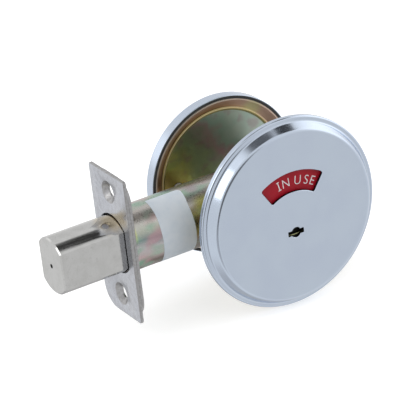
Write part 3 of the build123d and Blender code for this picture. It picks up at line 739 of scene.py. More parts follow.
class Shell:
    """A closed shape in the making, in millimetres."""

    def __init__(self, start: bpy.types.Mesh | None = None) -> None:
        """Starts empty or from a mesh.

        Args:
            start: The mesh.
        """
        self.bm = bmesh.new()
        if start:
            self.bm.from_mesh(start)

    def loop(self, points: list[Point]) -> list[bmesh.types.BMVert]:
        """New vertices at the points."""
        return [self.bm.verts.new(point) for point in points]

    def face(self, corners: tuple, slot: int = 0) -> None:
        """Smooth face on the corners.

        Args:
            corners: Its vertices in order.
            slot: Its material index.
        """
        face = self.bm.faces.new(corners)
        face.smooth = True
        face.material_index = slot

    def wall(self, first: list, second: list, slot: int = 0) -> None:
        """Closed strip of faces between two loops of equal length."""
        for i, j in enumerate([*range(1, len(first)), 0]):
            self.face((first[i], first[j], second[j], second[i]), slot)

    def walls(self, loops: list[list], slot: int = 0) -> None:
        """Strips between loops that follow each other."""
        for first, second in zip(loops, loops[1:]):
            self.wall(first, second, slot)

    def cap(self, *loops: list, slot: int = 0) -> None:
        """Flat face inside the first loop.

        Args:
            loops: Its outline and then its holes.
            slot: Its material index.
        """
        edges = []
        for loop in loops:
            for pair in zip(loop, loop[1:] + loop[:1]):
                edges.append(self.bm.edges.get(pair) or self.bm.edges.new(pair))
        made = bmesh.ops.triangle_fill(self.bm, use_beauty=True, edges=edges)
        for face in made["geom"]:
            if isinstance(face, bmesh.types.BMFace):
                face.smooth = True
                face.material_index = slot

    def mesh(self, name: str, merge: float = MERGE) -> bpy.types.Mesh:
        """The shape as a mesh in metres.

        Args:
            name: The mesh's name.
            merge: Distance within which vertices become one.

        Returns:
            The mesh, its faces turned outwards and its sharp edges marked.
        """
        bmesh.ops.remove_doubles(self.bm, verts=self.bm.verts, dist=merge)
        bmesh.ops.dissolve_degenerate(self.bm, edges=self.bm.edges, dist=merge)
        bmesh.ops.recalc_face_normals(self.bm, faces=self.bm.faces)
        self.bm.transform(Matrix.Scale(MM, 4))
        mesh = bpy.data.meshes.new(name)
        self.bm.to_mesh(mesh)
        self.bm.free()
        mesh.set_sharp_from_angle(angle=SHARP_ANGLE)
        return mesh


def settle(mesh: bpy.types.Mesh, body: Body, finishes: list[Finish],
           stands_for: tuple[str, ...] = ()) -> None:
    """Makes a finished piece of a mesh, with its finishes, and gives it its body.

    Args:
        mesh: The mesh in metres, in the model's frame.
        body: The body that it rides on.
        finishes: One finish for each of the mesh's material indices.
        stands_for: CAD nodes that it replaces.
    """
    for finish in finishes:
        mesh.materials.append(finish.material())
    piece = bpy.data.objects.new(mesh.name, mesh)
    bpy.context.scene.collection.objects.link(piece)
    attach(piece, body.value)
    if stands_for:
        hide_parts(*stands_for)
    log.info("%s: %d faces on %s", piece.name, len(mesh.polygons), body.value)


class ShapeTree(Graph):
    """Geometry node tree with named inputs, which makes pieces that repeat."""

    def __init__(self, name: str, finish: Finish) -> None:
        """Starts a tree with a geometry input and output and an input for its finish.

        Args:
            name: The tree's name and its mesh's.
            finish: The finish.
        """
        super().__init__(bpy.data.node_groups.new(name, "GeometryNodeTree"))
        self.name = name
        for way in ("INPUT", "OUTPUT"):
            self.tree.interface.new_socket("Geometry", in_out=way,
                                           socket_type="NodeSocketGeometry")
        self.entry = self.add("NodeGroupInput")
        self.values: dict[str, object] = {}
        self.finish = self.named("Finish", "NodeSocketMaterial", finish.material())

    def named(self, name: str, kind: str, value: object) -> Socket:
        """Adds a named input.

        Args:
            name: Its name.
            kind: Its socket type.
            value: What the modifier gives it.

        Returns:
            The socket that it is read from.
        """
        socket = self.tree.interface.new_socket(name, in_out="INPUT", socket_type=kind)
        self.values[socket.identifier] = value
        return self.entry.outputs[name]

    def sizes(self, **sizes: float) -> list[Number]:
        """Adds an input for each size.

        Args:
            sizes: The sizes by their names, with underscores for spaces.

        Returns:
            The inputs in the same order.
        """
        titles = [name.replace("_", " ").capitalize() for name in sizes]
        return [Number(self, self.named(title, "NodeSocketFloat", size))
                for title, size in zip(titles, sizes.values())]

    def quarter(self, kind: str, along: Number) -> Number:
        """Sine or cosine over a quarter turn."""
        return self.math(kind, along * (pi / 2))

    def turned(self, around: int, rows: int, radius: Callable[[Number, Number], Number],
               height: Callable[[Number], Number]) -> Socket:
        """Closed shape turned about the Y axis.

        Args:
            around: Faces around it.
            rows: Faces along it; the first and last row close its ends.
            radius: Takes the turn from 0 to 1 and the share of the way along, gives the radius.
            height: Takes the share of the way along, gives the place along Y.

        Returns:
            The shape's geometry.
        """
        grid = self.add("GeometryNodeMeshGrid", {
            "Size X": 1.0, "Size Y": 1.0, "Vertices X": around + 1, "Vertices Y": rows + 1})
        x, y, _ = self.split(self.add("GeometryNodeInputPosition").outputs[0])
        turn = x + 0.5
        row = (y + 0.5) * float(rows)
        clamp = self.add("ShaderNodeClamp", {0: (row - 1.0) / float(rows - 2)})
        along = Number(self, clamp.outputs[0])
        inside = self.math("GREATER_THAN", row, 0.5) * self.math("LESS_THAN", row, rows - 0.5)
        reach = radius(turn, along) * inside
        angle = turn * (2 * pi)
        place = self.add("ShaderNodeCombineXYZ", {
            0: reach * self.math("COSINE", angle), 1: height(along),
            2: reach * self.math("SINE", angle)})
        moved = self.add("GeometryNodeSetPosition", {
            "Geometry": grid.outputs[0], "Position": place.outputs[0]})
        return self.add("GeometryNodeMergeByDistance", {
            "Geometry": moved.outputs[0], "Distance": TREE_MERGE}).outputs[0]

    def mesh(self, shapes: list[Socket], places: list[Point]) -> bpy.types.Mesh:
        """Ends the tree with its shapes at every point, made real and given their finish.

        Args:
            shapes: The shapes that make up one copy.
            places: The places of the copies.

        Returns:
            The plain mesh of all copies, in metres.
        """
        shape = self.add("GeometryNodeJoinGeometry", {0: shapes})
        smooth = self.add("GeometryNodeSetShadeSmooth", {"Geometry": shape.outputs[0]})
        placed = self.add("GeometryNodeInstanceOnPoints", {
            "Points": self.entry.outputs[0], "Instance": smooth.outputs[0]})
        real = self.add("GeometryNodeRealizeInstances", {0: placed.outputs[0]})
        dressed = self.add("GeometryNodeSetMaterial", {
            "Geometry": real.outputs[0], "Material": self.finish})
        self.add("NodeGroupOutput", {0: dressed.outputs[0]})
        points = bpy.data.meshes.new(self.name)
        points.from_pydata(places, [], [])
        carrier = bpy.data.objects.new(self.name, points)
        bpy.context.scene.collection.objects.link(carrier)
        modifier = carrier.modifiers.new(self.name, "NODES")
        modifier.node_group = self.tree
        for identifier, value in self.values.items():
            modifier[identifier] = value
        graph = bpy.context.evaluated_depsgraph_get()
        made = bpy.data.meshes.new_from_object(carrier.evaluated_get(graph))
        carrier.modifiers.remove(modifier)
        bpy.data.objects.remove(carrier)
        mesh = Shell(made).mesh(self.name, TREE_MERGE)
        bpy.data.meshes.remove(made)
        return mesh


@dataclass(frozen=True)
class Softbox:
    """Square lamp panel that faces the lock.

    Attributes:
        name: The lamp's name.
        place: Its centre in metres.
        side: Its side in metres.
        level: Its brightness, where 1 is white.
    """

    name: str
    place: Point
    side: float
    level: float


@dataclass(frozen=True)
class Card:
    """Patch of the studio, darker or brighter than the rest, that bright metal shows.

    Attributes:
        towards: Direction of its middle.
        reach: Half its size along each axis, on a unit sphere.
        level: Its brightness as a share of the surroundings'.
        soft: Width of its soft edge as a share of its size.
    """

    towards: Point
    reach: Point
    level: float
    soft: float


@dataclass
class Studio:
    """Pale floor, white surroundings, a soft lamp and the camera.

    Attributes:
        floor_z: Height of the floor.
        floor_half: Half the floor's side.
        floor_grey: How pale the floor is.
        surround: Brightness of the surroundings.
        lift: Own brightness of the floor where it is seen.
        softboxes: The lamps.
        aim: Where the lamps point, in metres.
        cards: The darker and brighter patches of the surroundings.
        eye: Place of the camera in millimetres.
        right, above, back: The camera's axes.
        focal: Its focal length as a share of the picture's width.
        sensor: Width of its sensor in millimetres.
        near, far: Distances between which it sees, in metres.
    """

    floor_z: float = -37.3
    floor_half: float = 6000.0
    floor_grey: float = 0.84
    surround: float = 0.9
    lift: float = 0.5
    softboxes: tuple[Softbox, ...] = (Softbox("left_softbox", (-0.6, -0.04, 0.46), 0.42, 1.5),)
    aim: Point = (0.04, 0.0, 0.0)
    cards: tuple[Card, ...] = (
        Card((0.02, -0.02, 1.0), (0.26, 0.3, 0.3), 0.15, 0.35),
        Card((0.48, -0.05, 0.87), (0.15, 0.36, 0.35), 0.05, 0.1),
        Card((-0.46, -0.78, -0.42), (0.4, 0.42, 0.34), 0.6, 0.4),
        Card((-0.25, -0.92, 0.14), (0.42, 0.3, 0.45), 0.2, 0.4),
        Card((0.44, -0.8, -0.42), (0.3, 0.35, 0.4), 0.88, 0.5),
        Card((-0.1, 0.4, -0.92), (0.6, 0.55, 0.5), 0.66, 0.5),
        Card((0.9, -0.05, 0.36), (0.4, 0.6, 0.42), 1.7, 0.5),
        Card((-0.97, 0.04, 0.0), (0.2, 0.4, 0.35), 0.95, 0.5),
        Card((-0.48, 0.02, 0.87), (0.16, 0.3, 0.2), 1.25, 0.5),
        Card((-0.54, 0.8, 0.28), (0.25, 0.3, 0.25), 1.4, 0.5),
        Card((0.45, 0.78, 0.43), (0.35, 0.3, 0.35), 0.92, 0.5),
        Card((0.3, 0.68, -0.65), (0.35, 0.35, 0.4), 0.72, 0.5),
    )
    eye: Point = (-469.98, -939.61, 510.31)
    right: Point = (0.84803, -0.51883, -0.10794)
    above: Point = (0.30897, 0.31858, 0.89613)
    back: Point = (-0.43055, -0.79330, 0.43047)
    focal: float = 3215.44 / 416
    sensor: float = 36.0
    near: float = 0.01
    far: float = 50.0

    def build(self) -> None:
        """Makes the whole studio."""
        scene = bpy.context.scene
        scene.view_settings.view_transform = "Standard"
        self.add_surround(scene)
        for box in self.softboxes:
            self.add_softbox(scene, box)
        self.add_floor(scene)
        self.add_camera(scene)

    def add_surround(self, scene: bpy.types.Scene) -> None:
        """White surroundings with the cards in them.

        Args:
            scene: The scene.
        """
        scene.world = bpy.data.worlds.new("surround")
        scene.world.use_nodes = True
        graph = Graph(scene.world.node_tree)
        direction = graph.add("ShaderNodeTexCoord").outputs["Generated"]
        level: object = self.surround
        for card in self.cards:
            distance = graph.away(direction, card.towards, card.reach)
            level = graph.fit(distance, 1 - card.soft, 1 + card.soft, card.level, 1.0) * level
        seen = graph.add("ShaderNodeLightPath").outputs["Is Camera Ray"]
        strength = graph.add("ShaderNodeMix", {0: seen, 2: level, 3: 1.0}, data_type="FLOAT")
        shader = graph.add("ShaderNodeBackground", {
            "Color": (1, 1, 1, 1), "Strength": strength.outputs[0]})
        graph.add("ShaderNodeOutputWorld", {"Surface": shader.outputs[0]})

    def add_softbox(self, scene: bpy.types.Scene, box: Softbox) -> None:
        """One lamp, out of the camera's sight.

        Args:
            scene: The scene.
            box: The lamp's measures.
        """
        lamp = bpy.data.lights.new(box.name, "AREA")
        lamp.size = box.side
        lamp.energy = box.level * pi * box.side ** 2
        panel = bpy.data.objects.new(box.name, lamp)
        panel.location = box.place
        forward = Vector(self.aim) - Vector(box.place)
        panel.rotation_euler = forward.to_track_quat("-Z", "Y").to_euler()
        panel.visible_camera = False
        scene.collection.objects.link(panel)

    def add_floor(self, scene: bpy.types.Scene) -> None:
        """Floor that shows shadows, is white elsewhere, and clear from below and in reflections.

        Args:
            scene: The scene.
        """
        half = self.floor_half * MM
        corners = [(x * half, y * half, self.floor_z * MM)
                   for x, y in ((-1, -1), (1, -1), (1, 1), (-1, 1))]
        mesh = bpy.data.meshes.new("floor")
        mesh.from_pydata(corners, [], [(0, 1, 2, 3)])
        floor = bpy.data.objects.new("floor", mesh)
        scene.collection.objects.link(floor)
        made = bpy.data.materials.new("floor_white")
        made.use_nodes = True
        graph = Graph(made.node_tree)
        path = graph.add("ShaderNodeLightPath").outputs
        seen = graph.math("MAXIMUM", path["Is Camera Ray"], path["Is Transmission Ray"])
        lift = graph.add("ShaderNodeEmission", {"Strength": seen * self.lift})
        plain = graph.add("ShaderNodeBsdfDiffuse", {"Color": (*(self.floor_grey,) * 3, 1)})
        lit = graph.add("ShaderNodeAddShader", {0: plain.outputs[0], 1: lift.outputs[0]})
        below = graph.add("ShaderNodeNewGeometry").outputs["Backfacing"]
        clear = graph.add("ShaderNodeBsdfTransparent")
        both = graph.add("ShaderNodeMixShader", {
            0: graph.math("MAXIMUM", below, path["Is Glossy Ray"]), 1: lit.outputs[0],
            2: clear.outputs[0]})
        graph.add("ShaderNodeOutputMaterial", {"Surface": both.outputs[0]})
        mesh.materials.append(made)

    def add_camera(self, scene: bpy.types.Scene) -> None:
        """Camera where the photograph was taken from.

        Args:
            scene: The scene.
        """
        lens = bpy.data.cameras.new("camera")
        lens.sensor_width = self.sensor
        lens.lens = self.focal * self.sensor
        lens.clip_start = self.near
        lens.clip_end = self.far
        camera = bpy.data.objects.new("camera", lens)
        turned = Matrix((self.right, self.above, self.back)).transposed().to_4x4()
        camera.matrix_world = Matrix.Translation(Vector(self.eye) * MM) @ turned
        scene.collection.objects.link(camera)
        scene.camera = camera


class SubAssembly:
    """Group of nodes that share their making, with the pieces made for them."""

    nodes: ClassVar[dict[str, Finish]] = {}

    def dress(self) -> None:
        """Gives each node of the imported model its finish."""
        for name, finish in self.nodes.items():
            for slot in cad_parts[name].material_slots:
                slot.material = finish.material()
            log.info("%s: %s", name, finish.name)

    def build(self) -> None:
        """Makes the pieces, where the nodes don't do."""


@dataclass
class Faceplates(SubAssembly):
    """Faceplate and backing plate, with eased edges.

    Attributes:
        half_width, half_height: Half sizes of the faceplate.
        sheet: Thickness of each plate.
        corner, worn_corner: Radii of its corners, the last for the lower one inside.
        backing_inset, backing_corner: The backing plate's.
        screw_z: Height of the screw holes.
        sink_r, hole_r: Radii of a countersink and of its hole.
        sink_worn, sink_break: How far its mouth is worn open, and the width of the wear.
        opening_r, opening_half: Radius and half width of the bolt's opening.
        edge: Round of the front edges.
        easing: Insets and depths on that round, as shares of it.
        cut, burr: Break of the plain edges and of the faceplate's back edge.
        around, corner_steps: Points on a circle and parts of a corner.
    """

    FACE, EDGE = range(2)
    nodes = {"faceplate": PLATE_NICKEL, "backing_plate": PLATE_NICKEL}
    half_width: float = 12.7
    half_height: float = 28.575
    sheet: float = 1.2
    corner: float = 1.2
    worn_corner: float = 8.0
    backing_inset: float = 1.0
    backing_corner: float = 8.0
    screw_z: float = 20.65
    sink_r: float = 4.35
    hole_r: float = 2.6
    sink_worn: float = 0.05
    sink_break: float = 0.1
    opening_r: float = 11.5
    opening_half: float = 8.75
    edge: float = 0.32
    easing: tuple[Flat, ...] = ((1.0, 0.0), (0.6, 0.08), (0.29, 0.29), (0.08, 0.6), (0.0, 1.0))
    cut: float = 0.15
    burr: float = 0.08
    around: int = 64
    corner_steps: int = 8

    def build(self) -> None:
        """Makes both plates."""
        sheet, cut, worn = self.sheet, self.cut, self.sink_r - self.sink_break
        corners = (self.corner, self.worn_corner, self.corner, self.corner)
        front = (*((inset * self.edge, x * self.edge) for inset, x in self.easing),
                 (0.0, sheet - self.burr), (self.burr, sheet))
        foot = self.sink_r - sheet
        sink = ((self.sink_r + self.sink_worn, 0.0), (worn, self.sink_break), (foot, sheet))
        self.add_plate("faceplate_eased", "faceplate", 0.0, 0.0, corners, front, sink)
        back = ((cut, 0.0), (0.0, cut), (0.0, sheet - cut), (cut, sheet))
        sink = ((foot, 0.0), (self.hole_r, self.sink_r - self.hole_r - sheet), (self.hole_r, sheet))
        self.add_plate("backing_plate_eased", "backing_plate", sheet, self.backing_inset,
                       (self.backing_corner,) * 4, back, sink)

    def outline(self, shorter: float, corners: tuple[float, ...], inset: float) -> list[Flat]:
        """Outline of a plate.

        Args:
            shorter: How much shorter than the faceplate it is at each end.
            corners: Radii of its corners.
            inset: How far it is drawn in.

        Returns:
            Its points, y and z.
        """
        wide, high = self.half_width - inset, self.half_height - shorter - inset
        signs = ((-1, -1), (1, -1), (1, 1), (-1, 1))
        path = [(y * wide, z * high, radius - inset) for (y, z), radius in zip(signs, corners)]
        return rounded(path, True, self.corner_steps)

    def opening(self, grow: float) -> list[Flat]:
        """Outline of the bolt's opening.

        Args:
            grow: How much wider it is.

        Returns:
            Its points, y and z.
        """
        radius, half = self.opening_r + grow, self.opening_half + grow
        widest = atan2(half, sqrt(radius ** 2 - half ** 2))
        arc = [widest * (1 - 2 * i / self.around) for i in range(self.around + 1)]
        return [(radius * sin(a) * up, radius * cos(a) * up) for up in (1, -1) for a in arc]

    def add_plate(self, name: str, node: str, start: float, shorter: float,
                  corners: tuple[float, ...], rim: tuple[Flat, ...],
                  sink: tuple[Flat, ...]) -> None:
        """Makes one plate.

        Args:
            name: The piece's name.
            node: The node that it stands for.
            start: Place of its front face along x.
            shorter: How much shorter than the faceplate it is at each end.
            corners: Radii of its corners.
            rim: Insets of its edge and how far behind the front face they are.
            sink: Radii of its screw holes and how far behind the front face they are.
        """
        shell = Shell()

        def ring(x: float, outline: list[Flat]) -> list:
            """Loop of an outline, y and z, behind the front face."""
            return shell.loop([(start + x, y, z) for y, z in outline])

        rims = [ring(x, self.outline(shorter, corners, inset)) for inset, x in rim]
        holes = [[ring(x, [(y, z) for z, y in circle(side * self.screw_z, 0.0, r, self.around)])
                  for r, x in sink] for side in (1, -1)]
        bore = ((self.cut, 0.0), (0.0, self.cut), (0.0, self.sheet))
        way = [ring(x, self.opening(grow)) for grow, x in bore]
        for loops in (rims, *holes):
            shell.walls(loops, self.EDGE)
        shell.walls(way, self.FACE)
        for end in (0, -1):
            shell.cap(rims[end], *(loops[end] for loops in (*holes, way)), slot=self.FACE)
        settle(shell.mesh(name), Body.CASE, [PLATE_NICKEL, PLATE_EDGE], (node,))


@dataclass
class Latch(SubAssembly):
    """Round tube and the riveted frame behind it.

    Attributes:
        rivets: Places of the rivets.
        gap: Half the gap between the side plates.
        face: Outer face of a side plate, from the middle.
        shank_r, tenon_r, head_r, head: Sizes of a rivet.
        dome: How full its heads are, less for a fuller one.
        around, bar_rows, dome_rows: Faces round it, along its bars and along a head.
    """

    nodes = {"housing_tube": TUBE_ZINC, "side_plate_outer": FRAME_ZINC,
             "side_plate_inner": FRAME_ZINC, "frame_rivets": BARE_STEEL}
    rivets: tuple[Point, ...] = ((49.775, 0.0, -8.0), (77.075, 0.0, -8.0), (80.275, 0.0, 8.0))
    gap: float = 3.2
    face: float = 4.4
    shank_r: float = 1.6
    tenon_r: float = 1.0
    head_r: float = 1.7
    head: float = 0.6
    dome: float = 0.8
    around: int = 28
    bar_rows: int = 3
    dome_rows: int = 9

    def build(self) -> None:
        """Makes the rivets that hold the side plates apart, domed on both ends."""
        tree = ShapeTree("frame_rivets_domed", BARE_STEEL)
        gap, face, shank_r, tenon_r, head_r, head = tree.sizes(
            half_gap=self.gap, face=self.face, shank_radius=self.shank_r,
            tenon_radius=self.tenon_r, head_radius=self.head_r, head_height=self.head)

        def bar(radius: Number, reach: Number) -> Socket:
            """Round bar reaching as far to either side."""
            return tree.turned(self.around, self.bar_rows, lambda turn, along: radius,
                               lambda along: reach * (along * 2.0 - 1.0))

        def cap(side: float) -> Socket:
            """Domed head on one side."""
            return tree.turned(
                self.around, self.dome_rows,
                lambda turn, along: head_r * tree.quarter("SINE", along) ** self.dome,
                lambda along: (face + head * tree.quarter("COSINE", along)) * side)

        shapes = [bar(shank_r, gap), bar(tenon_r, face), cap(1.0), cap(-1.0)]
        settle(tree.mesh(shapes, list(self.rivets)), Body.CASE, [BARE_STEEL],
               ("frame_rivets",))


class DeadBolt(SubAssembly):
    """Bolt with its guard pin, stake and tail."""

    nodes = {"bolt_head": BOLT_NICKEL, "saw_guard_pin": HARDENED_STEEL,
             "stake_pin": HARDENED_STEEL, "bolt_tail": BARE_STEEL}


class CamWorks(SubAssembly):
    """Cam and its crank pin, driven by the blade."""

    nodes = {"cam": BARE_STEEL, "crank_pin": HARDENED_STEEL, "spindle_blade": BARE_STEEL}


class Thumbturn(SubAssembly):
    """Thumbturn with its washer and clip."""

    nodes = {"thumbturn": DIECAST_CHROME, "spring_washer": SPRING_STEEL, "turn_clip": SPRING_STEEL}


@dataclass
class SpunRose(SubAssembly):
    """Pressed cup with a straight rim, a shoulder, a cone and a flat face.

    Attributes:
        name: The piece's name.
        node: The node that it stands for.
        side: -1 for the outside, 1 for the inside.
        rim_r, step_r, face_r: Radii of the rim, of the shoulder's foot and of the face.
        rim, depth: How far the shoulder and the face stand off the door.
        sheet: Thickness of the sheet.
        draw: How much the inner corners lie inside the outer ones.
        rounds: Rounds at the face, the shoulder's foot, the rim and the open edge.
        inside: Round of the inner corners.
        ledge: How far the face is turned before it is flat and cut.
        lip: Chamfer inside the open edge.
        lip_finish_and_painted_reflection: Its finish; where it is the gasket's black rubber, it is
            a painted reflection of the gasket in the chrome chamfer.
        edge: Eased edge of the openings.
        axis_x, spindle_z, door: Place of the rose's axis, of the spindle and of the door's face.
        around: Points round it.
    """

    PLATED, SHEARED, LIP = range(3)
    name: str = ""
    node: str = ""
    side: float = 1.0
    rim_r: float = 31.2
    step_r: float = 29.3
    face_r: float = 27.3
    rim: float = 4.86
    depth: float = 8.8
    sheet: float = 0.9
    draw: float = 0.5525
    rounds: tuple[float, float, float, float] = (0.8, 0.4, 0.6, 0.2)
    inside: float = 0.4
    ledge: float = 3.0
    lip: float = 0.62
    # Black rubber on the chrome chamfer: a painted reflection of the gasket.
    lip_finish_and_painted_reflection: Finish = RUBBER
    edge: float = 0.15
    axis_x: float = 60.325
    spindle_z: float = -6.7
    door: float = 21.5
    around: int = 256

    def profile(self) -> list[Flat]:
        """Half section, from the face's back round the open edge to its front.

        Returns:
            Radius and height off the door of each point.
        """
        face, foot, rim, open_edge = self.rounds
        inner = self.rim_r - self.sheet
        return rounded([
            (self.face_r - self.draw - self.ledge, self.depth - self.sheet, 0),
            (self.face_r - self.draw, self.depth - self.sheet, self.inside),
            (self.step_r - self.draw, self.rim - self.sheet, self.inside),
            (inner, self.rim - self.sheet, self.inside),
            (inner, self.lip, 0), (inner + self.lip, 0, 0),
            (self.rim_r, 0, open_edge),
            (self.rim_r, self.rim, rim),
            (self.step_r, self.rim, foot),
            (self.face_r, self.depth, face),
            (self.face_r - self.ledge, self.depth, 0)], False)

    def openings(self, grow: float) -> list[list[Flat]]:
        """Outlines of what is cut out of the face, x and z."""
        raise NotImplementedError

    def build(self) -> None:
        """Makes the rose."""
        shell = Shell()

        def ring(height: float, outline: list[Flat]) -> list:
            """Loop of an outline, x and z, at a height off the door."""
            return shell.loop([(x, self.side * (self.door + height), z) for x, z in outline])

        section = self.profile()
        rings = [ring(height, circle(self.axis_x, 0.0, radius, self.around))
                 for radius, height in section]
        heights = [height for _, height in section]
        for first, second, *ends in zip(rings, rings[1:], heights, heights[1:]):
            # The chamfer strip gets the lip finish, on the inside rose black rubber as a painted
            # reflection of the gasket.
            shell.wall(first, second, self.LIP if ends == [self.lip, 0] else self.PLATED)
        levels = ((0.0, self.depth - self.sheet), (0.0, self.depth - self.edge),
                  (self.edge, self.depth))
        cuts = [[ring(height, outline) for outline in self.openings(grow)]
                for grow, height in levels]
        for back, middle, front in zip(*cuts):
            # The cut walls take the near-black edge finish, a painted shadow.
            shell.wall(back, middle, self.SHEARED)
            shell.wall(middle, front, self.PLATED)
        for end in (0, -1):
            shell.cap(rings[end], *cuts[end], slot=self.PLATED)
        settle(shell.mesh(self.name), Body.CASE,
               [SATIN_CHROME, SHEARED_EDGE_AND_SHADOW, self.lip_finish_and_painted_reflection], (self.node,))


@dataclass
class OutsideRose(SpunRose):
    """Rose with the indicator's window and the emergency keyhole.

    Attributes:
        window_inner, window_outer: Radii of the window about the spindle.
        window_half: Half its angle.
        window_corner: Radius of its corners.
        window_turn: Its turn about the spindle.
        window_steps: Parts of each of its arcs.
        key_half, key_rise, key_r: Half sizes of the keyhole's slot and radius of its round.
        key_steps: Parts of half that round.
    """

    nodes = {"outside_rose": SATIN_CHROME, "outside_plate": WIDE_DISH_ZINC,
             "outside_posts": BARE_STEEL, "release_rotor": BLACKED_STEEL,
             "rotor_clip": SPRING_STEEL}
    name: str = "outside_rose_spun"
    node: str = "outside_rose"
    side: float = -1.0
    rim_r: float = 37.07
    step_r: float = 35.06
    face_r: float = 33.1
    rim: float = 2.12
    depth: float = 6.05
    sheet: float = 1.1
    draw: float = 0.6806
    rounds: tuple[float, float, float, float] = (1.7, 1.1, 0.8, 0.2)
    lip: float = 0.1
    lip_finish_and_painted_reflection: Finish = SATIN_CHROME
    window_inner: float = 16.2
    window_outer: float = 24.2
    window_half: float = 33.4
    window_corner: float = 0.8
    window_turn: float = 1.5
    window_steps: int = 48
    key_half: float = 3.35
    key_rise: float = 0.95
    key_r: float = 2.0
    key_steps: int = 24

    def openings(self, grow: float) -> list[list[Flat]]:
        """Outlines of the window and the keyhole."""
        return [self.window(grow), self.keyhole(grow)]

    def window(self, grow: float) -> list[Flat]:
        """Window: a rounded sector about the spindle.

        Args:
            grow: How much wider it is.

        Returns:
            Its points, x and z.
        """
        middle = (self.window_inner + self.window_outer) / 2
        half = radians(self.window_half) * middle + grow
        low, high = self.window_inner - grow, self.window_outer + grow
        corner = self.window_corner + grow
        steps = [2 * half * i / self.window_steps for i in range(2, self.window_steps - 1)]
        flat = rounded([
            (-half, low, corner), *((-half + step, low, 0) for step in steps), (half, low, corner),
            (half, high, corner), *((half - step, high, 0) for step in steps),
            (-half, high, corner)], True)
        turned = [(s / middle + radians(self.window_turn), r) for s, r in flat]
        return [(self.axis_x + r * sin(a), self.spindle_z + r * cos(a)) for a, r in turned]

    def keyhole(self, grow: float) -> list[Flat]:
        """Keyhole: a slot with a round in its middle.

        Args:
            grow: How much wider it is.

        Returns:
            Its points, x and z.
        """
        half, rise, radius = (size + grow for size in (self.key_half, self.key_rise, self.key_r))
        first = atan2(rise, sqrt(radius ** 2 - rise ** 2))
        arc = [first + (pi - 2 * first) * i / self.key_steps for i in range(self.key_steps + 1)]
        top = [(half, rise), *((radius * cos(a), radius * sin(a)) for a in arc), (-half, rise)]
        whole = top + [(-x, -z) for x, z in top]
        return [(self.axis_x + x, self.spindle_z + z) for x, z in whole]


